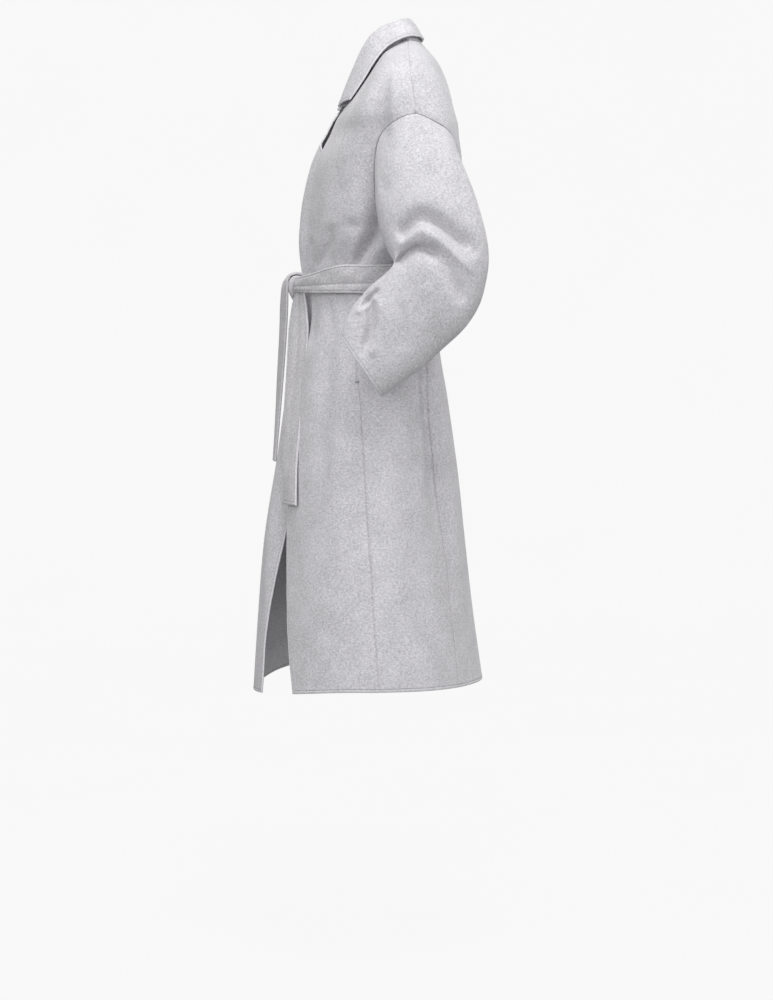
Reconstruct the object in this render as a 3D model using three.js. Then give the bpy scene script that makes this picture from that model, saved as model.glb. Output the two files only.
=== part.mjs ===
// A belted wool coat on a general figure, with hollow body, sleeves and collar.
// Millimetres. +Z is up, the front faces -Y and the wearer's left is +X.
// The origin lies between the shoulder seams, just in front of the back neck.

import * as THREE from 'three';

const WALL = 2.6;
const SEAM_GAP = 0.3;
const BELT_WALL = 3.4;
const BELT_SWELL = 2.6;
const BELT_ROUNDING = 0.9;
const UNDERLAP_DEPTH = 6;
const TUCK = { start: 16, end: 3 };
const LAP_CROWDING = 1.6;
const PANEL_COLUMNS = { leftFront: 9, rightFront: 13, back: 12 };
const NECK_COLUMNS = 12;
const SLEEVE_SIDES = 24;
const SHOULDER_ANGLE = 90;
const HEM_DROP = { front: 26, back: 8 };
const FOLD_FADE = { top: 0.22, bottom: 0.6 };
const SEAM_BEND = { low: 8, high: 0.75 };
const SLEEVE_CREASE_SPAN = { start: 0.6, full: 1.6, easing: 9.5, end: 11 };
const DEG = Math.PI / 180;

// Body rings from hem to neck. half is the half width, middle the y of the widest place,
// left and right the foremost y of each front, back the rearmost y, and the last two
// the squareness of the front and back halves of the ring.
const BODY_RINGS = [
  { z: -1073, half: 252, middle: -50, left: -230, right: -250, back: 146, frontPower: 2.0, backPower: 2.0 },
  { z: -950, half: 244, middle: -46, left: -223, right: -240, back: 129, frontPower: 2.0, backPower: 2.0 },
  { z: -830, half: 235, middle: -41, left: -213, right: -229, back: 115, frontPower: 2.0, backPower: 2.0 },
  { z: -713, half: 224, middle: -37, left: -199, right: -210, back: 103, frontPower: 2.0, backPower: 2.0 },
  { z: -610, half: 212, middle: -34, left: -184, right: -196, back: 88, frontPower: 2.0, backPower: 2.0 },
  { z: -530, half: 199, middle: -33, left: -171, right: -184, back: 76, frontPower: 2.0, backPower: 2.0 },
  { z: -475, half: 182, middle: -35, left: -160, right: -174, back: 68, frontPower: 2.0, backPower: 2.1 },
  { z: -424, half: 162, middle: -38, left: -155, right: -165, back: 62, frontPower: 2.0, backPower: 2.2 },
  { z: -396, half: 158, middle: -39, left: -155, right: -163, back: 60, frontPower: 2.0, backPower: 2.2 },
  { z: -369, half: 160, middle: -37, left: -157, right: -166, back: 62, frontPower: 2.0, backPower: 2.2 },
  { z: -346, half: 176, middle: -26, left: -158, right: -168, back: 69, frontPower: 2.0, backPower: 2.4 },
  { z: -318, half: 191, middle: -6, left: -156, right: -168, back: 84, frontPower: 2.1, backPower: 2.9 },
  { z: -262, half: 202, middle: 17, left: -151, right: -162, back: 101, frontPower: 2.2, backPower: 3.8 },
  { z: -200, half: 214, middle: 27, left: -141, right: -147, back: 108, frontPower: 2.2, backPower: 4.7 },
  { z: -152, half: 227, middle: 30, left: -118, right: -126, back: 103, frontPower: 2.2, backPower: 4.3 },
  { z: -120, half: 230, middle: 28, left: -101, right: -112, back: 97, frontPower: 2.5, backPower: 3.5 },
  { z: -84, half: 220, middle: 24, left: -73, right: -84, back: 90, frontPower: 2.9, backPower: 2.8 },
  { z: -53, half: 200, middle: 20, left: -51, right: -58, back: 80, frontPower: 3.2, backPower: 2.4 },
  { z: -27, half: 166, middle: 18, left: -35, right: -38, back: 67, frontPower: 3.2, backPower: 2.3 },
  { z: -10, half: 120, middle: 17, left: -22, right: -23, back: 53, frontPower: 2.8, backPower: 2.2 },
  { z: 5, half: 90, middle: 16, left: -8, right: -8, back: 40, frontPower: 2.4, backPower: 2.0 },
];

// Edges and seams as angles round the body, from centre front towards the side.
const LEFT_EDGE = [
  { z: -1100, angle: 47 }, { z: -981, angle: 39 }, { z: -913, angle: 35 }, { z: -775, angle: 28.5 },
  { z: -600, angle: 27.5 }, { z: -471, angle: 27 }, { z: -420, angle: 24 }, { z: -384, angle: 20 },
  { z: -300, angle: 16.5 }, { z: -230, angle: 15.5 }, { z: -150, angle: 15 }, { z: -104, angle: 15 },
  { z: -88, angle: 17.5 }, { z: -57, angle: 23 }, { z: -28, angle: 31 }, { z: -10, angle: 46 },
  { z: 5, angle: 70 },
];
const RIGHT_EDGE = [
  { z: -1100, angle: 25 }, { z: -913, angle: 24.5 }, { z: -775, angle: 27 }, { z: -700, angle: 34 },
  { z: -600, angle: 40 }, { z: -400, angle: 41 }, { z: -300, angle: 34 }, { z: -230, angle: 24 },
  { z: -192, angle: 14 }, { z: -150, angle: -4 }, { z: -104, angle: -15 }, { z: -88, angle: -17.5 },
  { z: -57, angle: -23 }, { z: -28, angle: -31 }, { z: -10, angle: -46 }, { z: 5, angle: -70 },
];
const FRONT_SIDE_SEAM = [
  { z: -1100, angle: 96 }, { z: -881, angle: 89.5 }, { z: -703, angle: 83 }, { z: -596, angle: 79 },
  { z: -541, angle: 75 }, { z: -455, angle: 78 }, { z: -400, angle: 83 },
];
const BACK_SIDE_SEAM = [
  { z: -1100, angle: 142 }, { z: -775, angle: 140.5 }, { z: -620, angle: 140 }, { z: -500, angle: 143 },
  { z: -400, angle: 147 },
];

// The armhole in side view, at equal turns from its front over its top and back to its
// bottom, each as y and z.
const ARMHOLE = [
  [-38, -232], [-37, -190], [-28, -158], [-6, -138], [26, -126], [58, -138], [85, -156], [97, -188],
  [96, -232], [88, -278], [73, -316], [52, -338], [28, -345], [2, -338], [-19, -316], [-32, -280],
];

// Folds of the body. angle is at the top, lean is the turn from top to bottom.
// A depth above nought is a trough and below nought a ridge.
const FOLDS = [
  { angle: 60, lean: 8, top: -40, bottom: -345, depth: 9, width: 7 },
  { angle: 76, lean: 2, top: -225, bottom: -396, depth: 12, width: 8 },
  { angle: 46, lean: -9, top: -300, bottom: -390, depth: 6, width: 6 },
  { angle: 60, lean: 4, top: -290, bottom: -390, depth: 7, width: 6 },
  { angle: 135, lean: 2, top: -425, bottom: -900, depth: 20, width: 6.5 },
  { angle: 151, lean: 1, top: -430, bottom: -1060, depth: -7, width: 7 },
  { angle: 52, lean: 4, top: -430, bottom: -760, depth: 5, width: 8 },
  { angle: 70, lean: 3, top: -600, bottom: -1100, depth: -4, width: 9 },
  { angle: 165, lean: -3, top: -300, bottom: -376, depth: 6, width: 7 },
  { angle: -172, lean: 4, top: -280, bottom: -376, depth: 7, width: 7 },
  { angle: 170, lean: -4, top: -425, bottom: -800, depth: 8, width: 7 },
  { angle: -166, lean: 3, top: -425, bottom: -930, depth: 9, width: 8 },
  { angle: -66, lean: -5, top: -95, bottom: -340, depth: 8, width: 8 },
  { angle: -38, lean: 4, top: -305, bottom: -376, depth: 6, width: 7 },
  { angle: -133, lean: -3, top: -430, bottom: -860, depth: 15, width: 7 },
  { angle: -146, lean: -1, top: -430, bottom: -1040, depth: -7, width: 8 },
  { angle: -58, lean: -4, top: -430, bottom: -800, depth: 7, width: 8 },
  { angle: -88, lean: -2, top: -520, bottom: -1000, depth: 6, width: 8 },
];

// Left sleeve rings from below the armhole to the cuff: the foremost and rearmost points in
// side view, the outer and inner x, and how far the outer side is raised above the middle.
const SLEEVE_RINGS = [
  { frontY: -37, frontZ: -262, backY: 114, backZ: -252, outer: 253, inner: 205, raise: 94 },
  { frontY: -32, frontZ: -295, backY: 129, backZ: -283, outer: 273, inner: 212, raise: 76 },
  { frontY: -21, frontZ: -332, backY: 143, backZ: -328, outer: 290, inner: 216, raise: 55 },
  { frontY: -8, frontZ: -360, backY: 147, backZ: -362, outer: 300, inner: 218, raise: 35 },
  { frontY: -10, frontZ: -376, backY: 143, backZ: -396, outer: 303, inner: 219, raise: 24 },
  { frontY: -24, frontZ: -389, backY: 132, backZ: -436, outer: 302, inner: 220, raise: 13 },
  { frontY: -43, frontZ: -404, backY: 108, backZ: -474, outer: 299, inner: 221, raise: 6 },
  { frontY: -62, frontZ: -424, backY: 70, backZ: -510, outer: 296, inner: 222, raise: 2 },
  { frontY: -78, frontZ: -446, backY: 38, backZ: -540, outer: 293, inner: 223, raise: 0 },
  { frontY: -89, frontZ: -468, backY: 1, backZ: -566, outer: 291, inner: 225, raise: 0 },
  { frontY: -95, frontZ: -487, backY: -26, backZ: -586, outer: 289, inner: 227, raise: 0 },
];
const SLEEVE_STATIONS = [
  0, 0.35, 0.8, 1.3, 1.8, 2.3, 2.7, 3.1, 3.5, 3.9, 4.3, 4.7, 5.1, 5.6, 6.2, 7, 8, 9, 10, 11,
];

// Creases of the sleeve, drawn in side view on its outer half as y and z.
const SLEEVE_CREASES = [
  { depth: 8, width: 15, route: [[2, -330], [22, -312], [36, -298], [66, -312], [100, -336], [132, -358]] },
  { depth: 10, width: 12, route: [[-10, -374], [8, -352], [30, -342], [58, -347], [78, -366], [106, -432]] },
  { depth: 7, width: 10, route: [[-52, -412], [-46, -440], [-44, -470], [-52, -510]] },
];

// Collar sections of the left half. share is the part of the way from centre back to the
// front end, fold is the top of the stand and edge the lower edge of the fall.
const COLLAR_SECTIONS = [
  { share: 0.0, foldX: 0, foldY: 20, foldZ: 46, edgeX: 0, edgeY: 44.5, edgeZ: 12 },
  { share: 0.2, foldX: 42, foldY: 14, foldZ: 43, edgeX: 67, edgeY: 35, edgeZ: 10.5 },
  { share: 0.39, foldX: 72, foldY: -3, foldZ: 35, edgeX: 100, edgeY: 14, edgeZ: 7 },
  { share: 0.55, foldX: 77, foldY: -31, foldZ: 22, edgeX: 110, edgeY: -15, edgeZ: -8 },
  { share: 0.72, foldX: 76, foldY: -53, foldZ: 0, edgeX: 119, edgeY: -37, edgeZ: -33 },
  { share: 0.86, foldX: 68, foldY: -76, foldZ: -47, edgeX: 120, edgeY: -58, edgeZ: -66 },
  { share: 1.0, foldX: 53, foldY: -99, foldZ: -105, edgeX: 116, edgeY: -79, edgeZ: -97 },
];
const COLLAR_ACROSS = 8;

// Belt sections across its width, as height from the middle and swell outwards.
const BELT_PROFILE = [
  { height: 25, swell: 0 }, { height: 16, swell: 2.4 }, { height: 2, swell: BELT_SWELL },
  { height: -8, swell: 0.4 }, { height: -15, swell: BELT_SWELL }, { height: -24, swell: 0.6 },
];
const BELT = {
  half: 162.9, middle: -39, left: -160.5, right: -169.5, back: 67, frontZ: -405, backZ: -394,
  frontPower: 2.0, backPower: 2.2, lapAngle: 22, columns: 40,
  gatherStart: 72, gatherEnd: 10, gathered: 0.56,
};
const KNOT_THICKNESS = 11;
const STRAND_COLUMNS = 4;
const LEFT_TAIL_SEAT = { height: 6, inner: 4, outer: 15 };

// Strands of the belt as rows of the two edges of the folded band.
const KNOT_ROWS = [
  { z: -385.5, x1: 26, y1: -171, x2: -12, y2: -171 }, { z: -383, x1: 28, y1: -180, x2: -14, y2: -180 },
  { z: -386, x1: 28, y1: -188.5, x2: -15, y2: -188.5 }, { z: -395, x1: 27, y1: -192, x2: -15, y2: -192 },
  { z: -406, x1: 26, y1: -192.5, x2: -14, y2: -192.5 }, { z: -418, x1: 25, y1: -192.5, x2: -13, y2: -192.5 },
];
const LEFT_TAIL_ROWS = [
  { z: -428, x1: 20, y1: -183, x2: 58, y2: -162 }, { z: -455, x1: 28, y1: -187, x2: 72, y2: -160 },
  { z: -483, x1: 36, y1: -188, x2: 80, y2: -159 }, { z: -540, x1: 50, y1: -189, x2: 94, y2: -165 },
  { z: -620, x1: 68, y1: -191, x2: 114, y2: -169 }, { z: -700, x1: 88, y1: -193, x2: 134, y2: -172 },
  { z: -772, x1: 108, y1: -192, x2: 154, y2: -171 },
];
const RIGHT_TAIL_ROWS = [
  { z: -418.6, x1: 20, y1: -194, x2: -12, y2: -194 }, { z: -440, x1: 8, y1: -194, x2: -32, y2: -197 },
  { z: -480, x1: 3, y1: -196, x2: -46, y2: -204 }, { z: -560, x1: -3, y1: -203, x2: -54, y2: -208 },
  { z: -620, x1: -7, y1: -208, x2: -58, y2: -210 }, { z: -709, x1: -10, y1: -215, x2: -61, y2: -214 },
];

const clamp = (value, low, high) => Math.min(high, Math.max(low, value));
const mix = (a, b, share) => a + (b - a) * share;

function smoothStep(low, high, value) {
  const share = clamp((value - low) / (high - low), 0, 1);
  return share * share * (3 - 2 * share);
}

function catmullRom(a, b, c, d, share) {
  const square = share * share;
  const cube = square * share;
  return 0.5 * (2 * b + (c - a) * share + (2 * a - 5 * b + 4 * c - d) * square
    + (3 * b - a - 3 * c + d) * cube);
}

// The value of a named column at a place along a table, smooth through its rows.
function alongRows(rows, column, place) {
  const last = rows.length - 1;
  const index = clamp(Math.floor(place), 0, last - 1);
  const at = (i) => rows[clamp(i, 0, last)][column];
  return catmullRom(at(index - 1), at(index), at(index + 1), at(index + 2), place - index);
}

// The value of a named column where another, rising, column has a given value.
function byColumn(rows, key, column, value) {
  let index = 0;
  while (index < rows.length - 2 && rows[index + 1][key] < value) index += 1;
  const span = rows[index + 1][key] - rows[index][key];
  return alongRows(rows, column, index + clamp((value - rows[index][key]) / span, 0, 1));
}

function ringPlaceAtHeight(z) {
  let low = 0;
  let high = BODY_RINGS.length - 1;
  for (let step = 0; step < 40; step += 1) {
    const middle = (low + high) / 2;
    if (alongRows(BODY_RINGS, 'z', middle) < z) low = middle;
    else high = middle;
  }
  return (low + high) / 2;
}

const edgeAngle = (table, z) => byColumn(table, 'z', 'angle', z);

function foldDepth(angle, z) {
  let depth = 0;
  for (const fold of FOLDS) {
    const share = (fold.top - z) / (fold.top - fold.bottom);
    if (share <= 0 || share >= 1) continue;
    const away = Math.abs(((angle - fold.angle - fold.lean * share + 540) % 360) - 180);
    const fade = smoothStep(0, FOLD_FADE.top, share) * smoothStep(1, FOLD_FADE.bottom, share);
    depth += fold.depth * fade * Math.exp(-((away / fold.width) ** 2));
  }
  return depth;
}

// A point of the body's outer face. angle is in degrees from centre front, with the
// wearer's left positive; place counts rings; under is the right front's own layer.
function bodyPoint(angle, place, under = false) {
  const ring = {};
  for (const column of Object.keys(BODY_RINGS[0])) ring[column] = alongRows(BODY_RINGS, column, place);
  const sine = Math.sin(angle * DEG);
  const cosine = Math.cos(angle * DEG);
  const lap = edgeAngle(LEFT_EDGE, ring.z);
  const tucked = under ? smoothStep(lap - TUCK.start, lap - TUCK.end, angle) : 0;
  const onLeft = under ? tucked : Number(angle >= 0);
  const foremost = mix(ring.right, ring.left, onLeft);
  const depth = cosine > 0 ? ring.middle - foremost : ring.back - ring.middle;
  const power = cosine > 0 ? ring.frontPower : ring.backPower;
  const radius = (Math.abs(sine) ** power + Math.abs(cosine) ** power) ** (-1 / power);
  const x = ring.half * radius * sine;
  const y = ring.middle - depth * radius * cosine;
  const normal = new THREE.Vector2(x / ring.half ** 2, (y - ring.middle) / depth ** 2).normalize();
  const inward = foldDepth(angle, ring.z) + tucked * UNDERLAP_DEPTH;
  const hemFade = smoothStep(3, 0, place);
  const drop = hemFade * (cosine > 0 ? HEM_DROP.front : HEM_DROP.back) * cosine * cosine;
  return new THREE.Vector3(x - normal.x * inward, y - normal.y * inward, ring.z - drop);
}

// A point and outward normal of any surface given as a function of two values.
function sample(surface, u, v, stepU, stepV) {
  const alongU = surface(u + stepU, v).sub(surface(u - stepU, v));
  const alongV = surface(u, v + stepV).sub(surface(u, v - stepV));
  return { point: surface(u, v), normal: alongU.cross(alongV).normalize() };
}

const bodySample = (angle, place, under) =>
  sample((a, p) => bodyPoint(a, clamp(p, 0, BODY_RINGS.length - 1), under), angle, place, 0.5, 0.04);

// The armhole in side view, from 0 at its front through 90 at its top to 180 at its back.
function armholeOutline(turn) {
  const place = (((turn % 360) + 360) % 360) * ARMHOLE.length / 360;
  const index = Math.floor(place);
  const at = (step) => ARMHOLE[(index + step + ARMHOLE.length) % ARMHOLE.length];
  const [y, z] = [0, 1].map((axis) =>
    catmullRom(at(-1)[axis], at(0)[axis], at(1)[axis], at(2)[axis], place - index));
  return { y, z };
}

// Where the armhole outline meets the body, as the body's own angle and ring place.
function armholePlace(turn, side) {
  const { y, z } = armholeOutline(turn);
  const place = ringPlaceAtHeight(z);
  const isTop = Math.abs((turn + 720) % 360 - 90) < 0.01;
  if (isTop) return { angle: side * SHOULDER_ANGLE, place };
  let low = 20;
  let high = 170;
  for (let step = 0; step < 40; step += 1) {
    const middle = (low + high) / 2;
    if (bodyPoint(side * middle, place).y < y) low = middle;
    else high = middle;
  }
  return { angle: side * low, place };
}

const TURN_STEP = 360 / SLEEVE_SIDES;
const SIDE_PANEL_TURNS = { front: -45, back: -135 };
const armholeTurns = (from, to) => {
  const count = Math.round(Math.abs(to - from) / TURN_STEP);
  return Array.from({ length: count + 1 }, (_, i) => mix(from, to, i / count));
};

const LOW_PLACES = [0, 0.6, 1.2, 1.8, 2.4, 3, 3.5, 4, 4.5, 5, 5.5, 6, 6.5, 7, 8, 9, 9.5, 10, 10.5];
const HIGH_PLACES = [15.5, 16.2, 17, 17.8, 18.6, 19.3, 20];

// Rows of the front or back panel: each has its ring place and the angle of its outer seam.
function seamRows(seam, turns, side) {
  const low = armholePlace(turns[0], side);
  const rows = LOW_PLACES.map((place) => {
    const z = alongRows(BODY_RINGS, 'z', place);
    const seamAngle = edgeAngle(seam, z);
    const near = smoothStep(SEAM_BEND.low, low.place, place);
    return { place, angle: side * mix(seamAngle, Math.abs(low.angle), near) };
  });
  for (const turn of turns) rows.push(armholePlace(turn, side));
  for (const place of HIGH_PLACES) rows.push({ place, angle: side * SHOULDER_ANGLE });
  return rows;
}

const frontSeamRows = (side) => seamRows(FRONT_SIDE_SEAM, armholeTurns(SIDE_PANEL_TURNS.front, 90), side);
const backSeamRows = (side) => seamRows(BACK_SIDE_SEAM, armholeTurns(SIDE_PANEL_TURNS.back, -270), side);

function frontPanel(side, columns) {
  const under = side < 0;
  const edges = under ? RIGHT_EDGE : LEFT_EDGE;
  return frontSeamRows(side).map((row) => {
    const edge = edgeAngle(edges, alongRows(BODY_RINGS, 'z', row.place));
    const line = Array.from({ length: columns + 1 }, (_, i) =>
      bodySample(mix(edge, row.angle, (i / columns) ** (under ? LAP_CROWDING : 1)), row.place, under));
    return under ? line.reverse() : line;
  });
}

function sidePanel(side) {
  const turns = armholeTurns(SIDE_PANEL_TURNS.front, SIDE_PANEL_TURNS.back);
  const top = turns.map((turn) => armholePlace(turn, side));
  const front = frontSeamRows(side);
  const back = backSeamRows(side);
  const grid = [];
  for (let row = 0; row <= LOW_PLACES.length; row += 1) {
    const share = front[row].place / top[0].place;
    const line = top.map((end, i) => {
      const across = i / (top.length - 1);
      const even = mix(front[row].angle, back[row].angle, across);
      const close = smoothStep(SEAM_BEND.high, 1, share);
      const bend = end.angle - mix(top[0].angle, top.at(-1).angle, across);
      return bodySample(even + close * bend, end.place * share, side < 0);
    });
    grid.push(side > 0 ? line : line.reverse());
  }
  return grid;
}

function backPanel(columns) {
  const right = backSeamRows(-1);
  return backSeamRows(1).map((row, r) => Array.from({ length: columns + 1 }, (_, i) =>
    bodySample(mix(row.angle, 360 + right[r].angle, i / columns), row.place, false)));
}

function creaseDepth(y, z) {
  let depth = 0;
  for (const crease of SLEEVE_CREASES) {
    let nearest = Infinity;
    for (let i = 0; i + 1 < crease.route.length; i += 1) {
      const start = new THREE.Vector2(...crease.route[i]);
      const run = new THREE.Vector2(...crease.route[i + 1]).sub(start);
      const reach = new THREE.Vector2(y, z).sub(start);
      const share = clamp(reach.dot(run) / run.lengthSq(), 0, 1);
      nearest = Math.min(nearest, reach.sub(run.multiplyScalar(share)).length());
    }
    depth += crease.depth * Math.exp(-((nearest / crease.width) ** 2));
  }
  return depth;
}

function sleeveRingPoint(index, turn, side) {
  if (index <= 0) {
    const place = armholePlace(turn, side);
    return bodyPoint(place.angle, place.place).multiply(new THREE.Vector3(side, 1, 1));
  }
  const ring = SLEEVE_RINGS[Math.min(index, SLEEVE_RINGS.length) - 1];
  const cosine = Math.cos(turn * DEG);
  const sine = Math.sin(turn * DEG);
  return new THREE.Vector3(
    (ring.outer + ring.inner) / 2 + sine * (ring.outer - ring.inner) / 2,
    mix(ring.backY, ring.frontY, (1 + cosine) / 2),
    mix(ring.backZ, ring.frontZ, (1 + cosine) / 2) + sine * ring.raise,
  );
}

// A point of a sleeve's outer face. station counts rings from the armhole, and turn goes
// from the front of the arm over its outer side.
function sleevePoint(turn, station, side) {
  const index = clamp(Math.floor(station), 0, SLEEVE_RINGS.length - 1);
  const near = [-1, 0, 1, 2].map((step) => sleeveRingPoint(index + step, turn, side));
  if (index === 0) near[0] = near[1].clone().multiplyScalar(2).sub(near[2]);
  const point = new THREE.Vector3();
  for (const axis of ['x', 'y', 'z']) {
    point[axis] = catmullRom(near[0][axis], near[1][axis], near[2][axis], near[3][axis], station - index);
  }
  const outerHalf = smoothStep(-0.1, 0.6, Math.sin(turn * DEG));
  const { start, full, easing, end } = SLEEVE_CREASE_SPAN;
  const fade = smoothStep(start, full, station) * smoothStep(end, easing, station);
  point.x -= outerHalf * fade * creaseDepth(point.y, point.z);
  point.x *= side;
  return point;
}

function sleeve(side) {
  const turns = Array.from({ length: SLEEVE_SIDES }, (_, i) => -side * i * TURN_STEP);
  const surface = (turn, station) => sleevePoint(turn, clamp(station, 0, SLEEVE_RINGS.length), side);
  return SLEEVE_STATIONS.map((station) => turns.map((turn) => {
    const spot = sample(surface, turn, station, 1, 0.04);
    if (side > 0) spot.normal.negate();
    if (station === 0) {
      const place = armholePlace(turn, side);
      spot.normal.add(bodySample(place.angle, place.place).normal).normalize();
    }
    return spot;
  }));
}

function gridNormals(points) {
  const rows = points.length - 1;
  const columns = points[0].length - 1;
  return points.map((line, r) => line.map((point, c) => {
    const along = points[r][Math.min(c + 1, columns)].clone().sub(points[r][Math.max(c - 1, 0)]);
    const up = points[Math.min(r + 1, rows)][c].clone().sub(points[Math.max(r - 1, 0)][c]);
    return { point, normal: along.cross(up).normalize() };
  }));
}

// The neckline from the left front's collar end, round the back, to the right one's.
function neckline() {
  const front = (edges, under) => HIGH_PLACES.map((place) =>
    bodySample(edgeAngle(edges, alongRows(BODY_RINGS, 'z', place)), place, under));
  const back = Array.from({ length: NECK_COLUMNS + 1 }, (_, i) =>
    bodySample(SHOULDER_ANGLE + i * 180 / NECK_COLUMNS, HIGH_PLACES.at(-1), false));
  return [...front(LEFT_EDGE, false), ...back, ...front(RIGHT_EDGE, true).reverse()];
}

function collarSectionAt(share, side, seam, twin) {
  const at = (column) => byColumn(COLLAR_SECTIONS, 'share', column, share);
  const shift = side > 0 ? new THREE.Vector3() : seam.clone().sub(twin.clone().setX(-twin.x));
  const fold = new THREE.Vector3(side * at('foldX'), at('foldY'), at('foldZ')).add(shift);
  const edge = new THREE.Vector3(side * at('edgeX'), at('edgeY'), at('edgeZ')).add(shift);
  const rise = seam.clone().lerp(fold, 0.6);
  const roll = fold.clone().lerp(edge, 0.4).add(new THREE.Vector3(0, 0, 3));
  const route = new THREE.CatmullRomCurve3([seam, rise, fold, roll, edge], false, 'centripetal');
  return Array.from({ length: COLLAR_ACROSS + 1 }, (_, i) => route.getPoint(i / COLLAR_ACROSS));
}

function collar() {
  const seam = neckline();
  const middle = (seam.length - 1) / 2;
  const lengths = [0];
  for (let i = 1; i <= middle; i += 1) {
    lengths.push(lengths[i - 1] + seam[middle - i].point.distanceTo(seam[middle - i + 1].point));
  }
  const sections = seam.map((spot, index) => {
    const steps = Math.abs(index - middle);
    const side = index > middle ? -1 : 1;
    return collarSectionAt(lengths[steps] / lengths[middle], side, spot.point, seam[middle - steps].point);
  });
  const points = Array.from({ length: COLLAR_ACROSS + 1 }, (_, r) => sections.map((line) => line[r]));
  const grid = gridNormals(points);
  grid[0].forEach((spot, i) => spot.normal.copy(seam[i].normal));
  return grid;
}

// A point of the belt's ring, moved out from its inner face. The belt is gathered towards the tie.
function beltPoint(angle, height, out) {
  const sine = Math.sin(angle * DEG);
  const cosine = Math.cos(angle * DEG);
  const signed = (angle + 180) % 360 - 180;
  const foremost = mix(BELT.right, BELT.left, signed > 0 ? smoothStep(0, BELT.lapAngle, signed) : 0);
  const depth = (cosine > 0 ? BELT.middle - foremost : BELT.back - BELT.middle) + out;
  const power = cosine > 0 ? BELT.frontPower : BELT.backPower;
  const radius = (Math.abs(sine) ** power + Math.abs(cosine) ** power) ** (-1 / power);
  const gather = smoothStep(BELT.gatherStart, BELT.gatherEnd, Math.abs(signed));
  const z = mix(BELT.backZ, BELT.frontZ, gather) + height * mix(1, BELT.gathered, gather);
  return new THREE.Vector3((BELT.half + out) * radius * sine, BELT.middle - depth * radius * cosine, z);
}

function beltBand() {
  const angles = Array.from({ length: BELT.columns }, (_, i) => 360 * i / BELT.columns);
  const rows = [...BELT_PROFILE].reverse();
  const outer = rows.map((row) => angles.map((angle) => beltPoint(angle, row.height, BELT_WALL + row.swell)));
  const inner = rows.map((row) => angles.map((angle) => beltPoint(angle, row.height, 0)));
  return solid(outer, inner, true);
}

// A strip of folded belt between the two edges given in each row, thinner at its edges.
function strand(rows, thickness) {
  const columns = STRAND_COLUMNS;
  const points = [...rows].reverse().map((row) => Array.from({ length: columns + 1 }, (_, i) =>
    new THREE.Vector3(mix(row.x2, row.x1, i / columns), mix(row.y2, row.y1, i / columns), row.z)));
  const face = (sign) => gridNormals(points).map((line) => line.map((spot, i) => {
    const away = Math.abs(2 * i / columns - 1);
    const half = thickness / 2 * (1 - 0.5 * away ** 3);
    return spot.point.clone().addScaledVector(spot.normal, sign * half);
  }));
  return solid(face(1), face(-1), false);
}

function leftTail() {
  const seat = BELT_WALL + BELT_SWELL + SEAM_GAP + BELT_WALL / 2 + BELT_ROUNDING;
  const inner = beltPoint(LEFT_TAIL_SEAT.inner, LEFT_TAIL_SEAT.height, seat);
  const outer = beltPoint(LEFT_TAIL_SEAT.outer, LEFT_TAIL_SEAT.height, seat);
  const top = { z: inner.z, x1: inner.x, y1: inner.y, x2: outer.x, y2: outer.y };
  return strand([top, ...LEFT_TAIL_ROWS].map(swapEdges), BELT_WALL);
}

const swapEdges = (row) => ({ z: row.z, x1: row.x2, y1: row.y2, x2: row.x1, y2: row.y1 });

// Moves the rim of a grid of points inwards by half the seam gap.
function parted(grid, wrap) {
  const rows = grid.length - 1;
  const columns = grid[0].length - 1;
  const moved = grid.map((line) => line.map((spot) => ({ point: spot.point.clone(), normal: spot.normal })));
  const pull = (r, c, r2, c2) => {
    const way = grid[r2][c2].point.clone().sub(grid[r][c].point).normalize();
    moved[r][c].point.addScaledVector(way, SEAM_GAP / 2);
  };
  for (let c = 0; c <= columns; c += 1) {
    pull(0, c, 1, c);
    pull(rows, c, rows - 1, c);
  }
  for (let r = 0; r <= rows && !wrap; r += 1) {
    pull(r, 0, r, 1);
    pull(r, columns, r, columns - 1);
  }
  return moved;
}

// A closed wall between an outer and an inner grid of points, ringed or with four rims.
function solid(outer, inner, wrap) {
  const rows = outer.length;
  const columns = outer[0].length;
  const points = [...outer.flat(), ...inner.flat()];
  const faces = [];
  const at = (r, c, layer) => layer * rows * columns + r * columns + c % columns;
  const quad = (a, b, c, d) => faces.push(a, b, c, a, c, d);
  const spans = wrap ? columns : columns - 1;
  for (let r = 0; r + 1 < rows; r += 1) {
    for (let c = 0; c < spans; c += 1) {
      quad(at(r, c, 0), at(r, c + 1, 0), at(r + 1, c + 1, 0), at(r + 1, c, 0));
      quad(at(r, c, 1), at(r + 1, c, 1), at(r + 1, c + 1, 1), at(r, c + 1, 1));
    }
  }
  for (let c = 0; c < spans; c += 1) {
    quad(at(0, c, 0), at(0, c, 1), at(0, c + 1, 1), at(0, c + 1, 0));
    quad(at(rows - 1, c, 0), at(rows - 1, c + 1, 0), at(rows - 1, c + 1, 1), at(rows - 1, c, 1));
  }
  for (let r = 0; r + 1 < rows && !wrap; r += 1) {
    quad(at(r, 0, 0), at(r + 1, 0, 0), at(r + 1, 0, 1), at(r, 0, 1));
    quad(at(r, spans, 0), at(r, spans, 1), at(r + 1, spans, 1), at(r + 1, spans, 0));
  }
  const geometry = new THREE.BufferGeometry();
  const flat = points.flatMap((point) => [point.x, point.y, point.z]);
  geometry.setAttribute('position', new THREE.Float32BufferAttribute(flat, 3));
  geometry.setIndex(faces);
  geometry.computeVertexNormals();
  return geometry;
}

// A panel as a wall of cloth, its outer face on the grid and parted from its neighbours.
function cloth(grid, wrap = false) {
  const spots = parted(grid, wrap);
  const outer = spots.map((line) => line.map((spot) => spot.point));
  const inner = spots.map((line) => line.map((spot) => spot.point.clone().addScaledVector(spot.normal, -WALL)));
  return solid(outer, inner, wrap);
}

const group = new THREE.Group();

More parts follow.
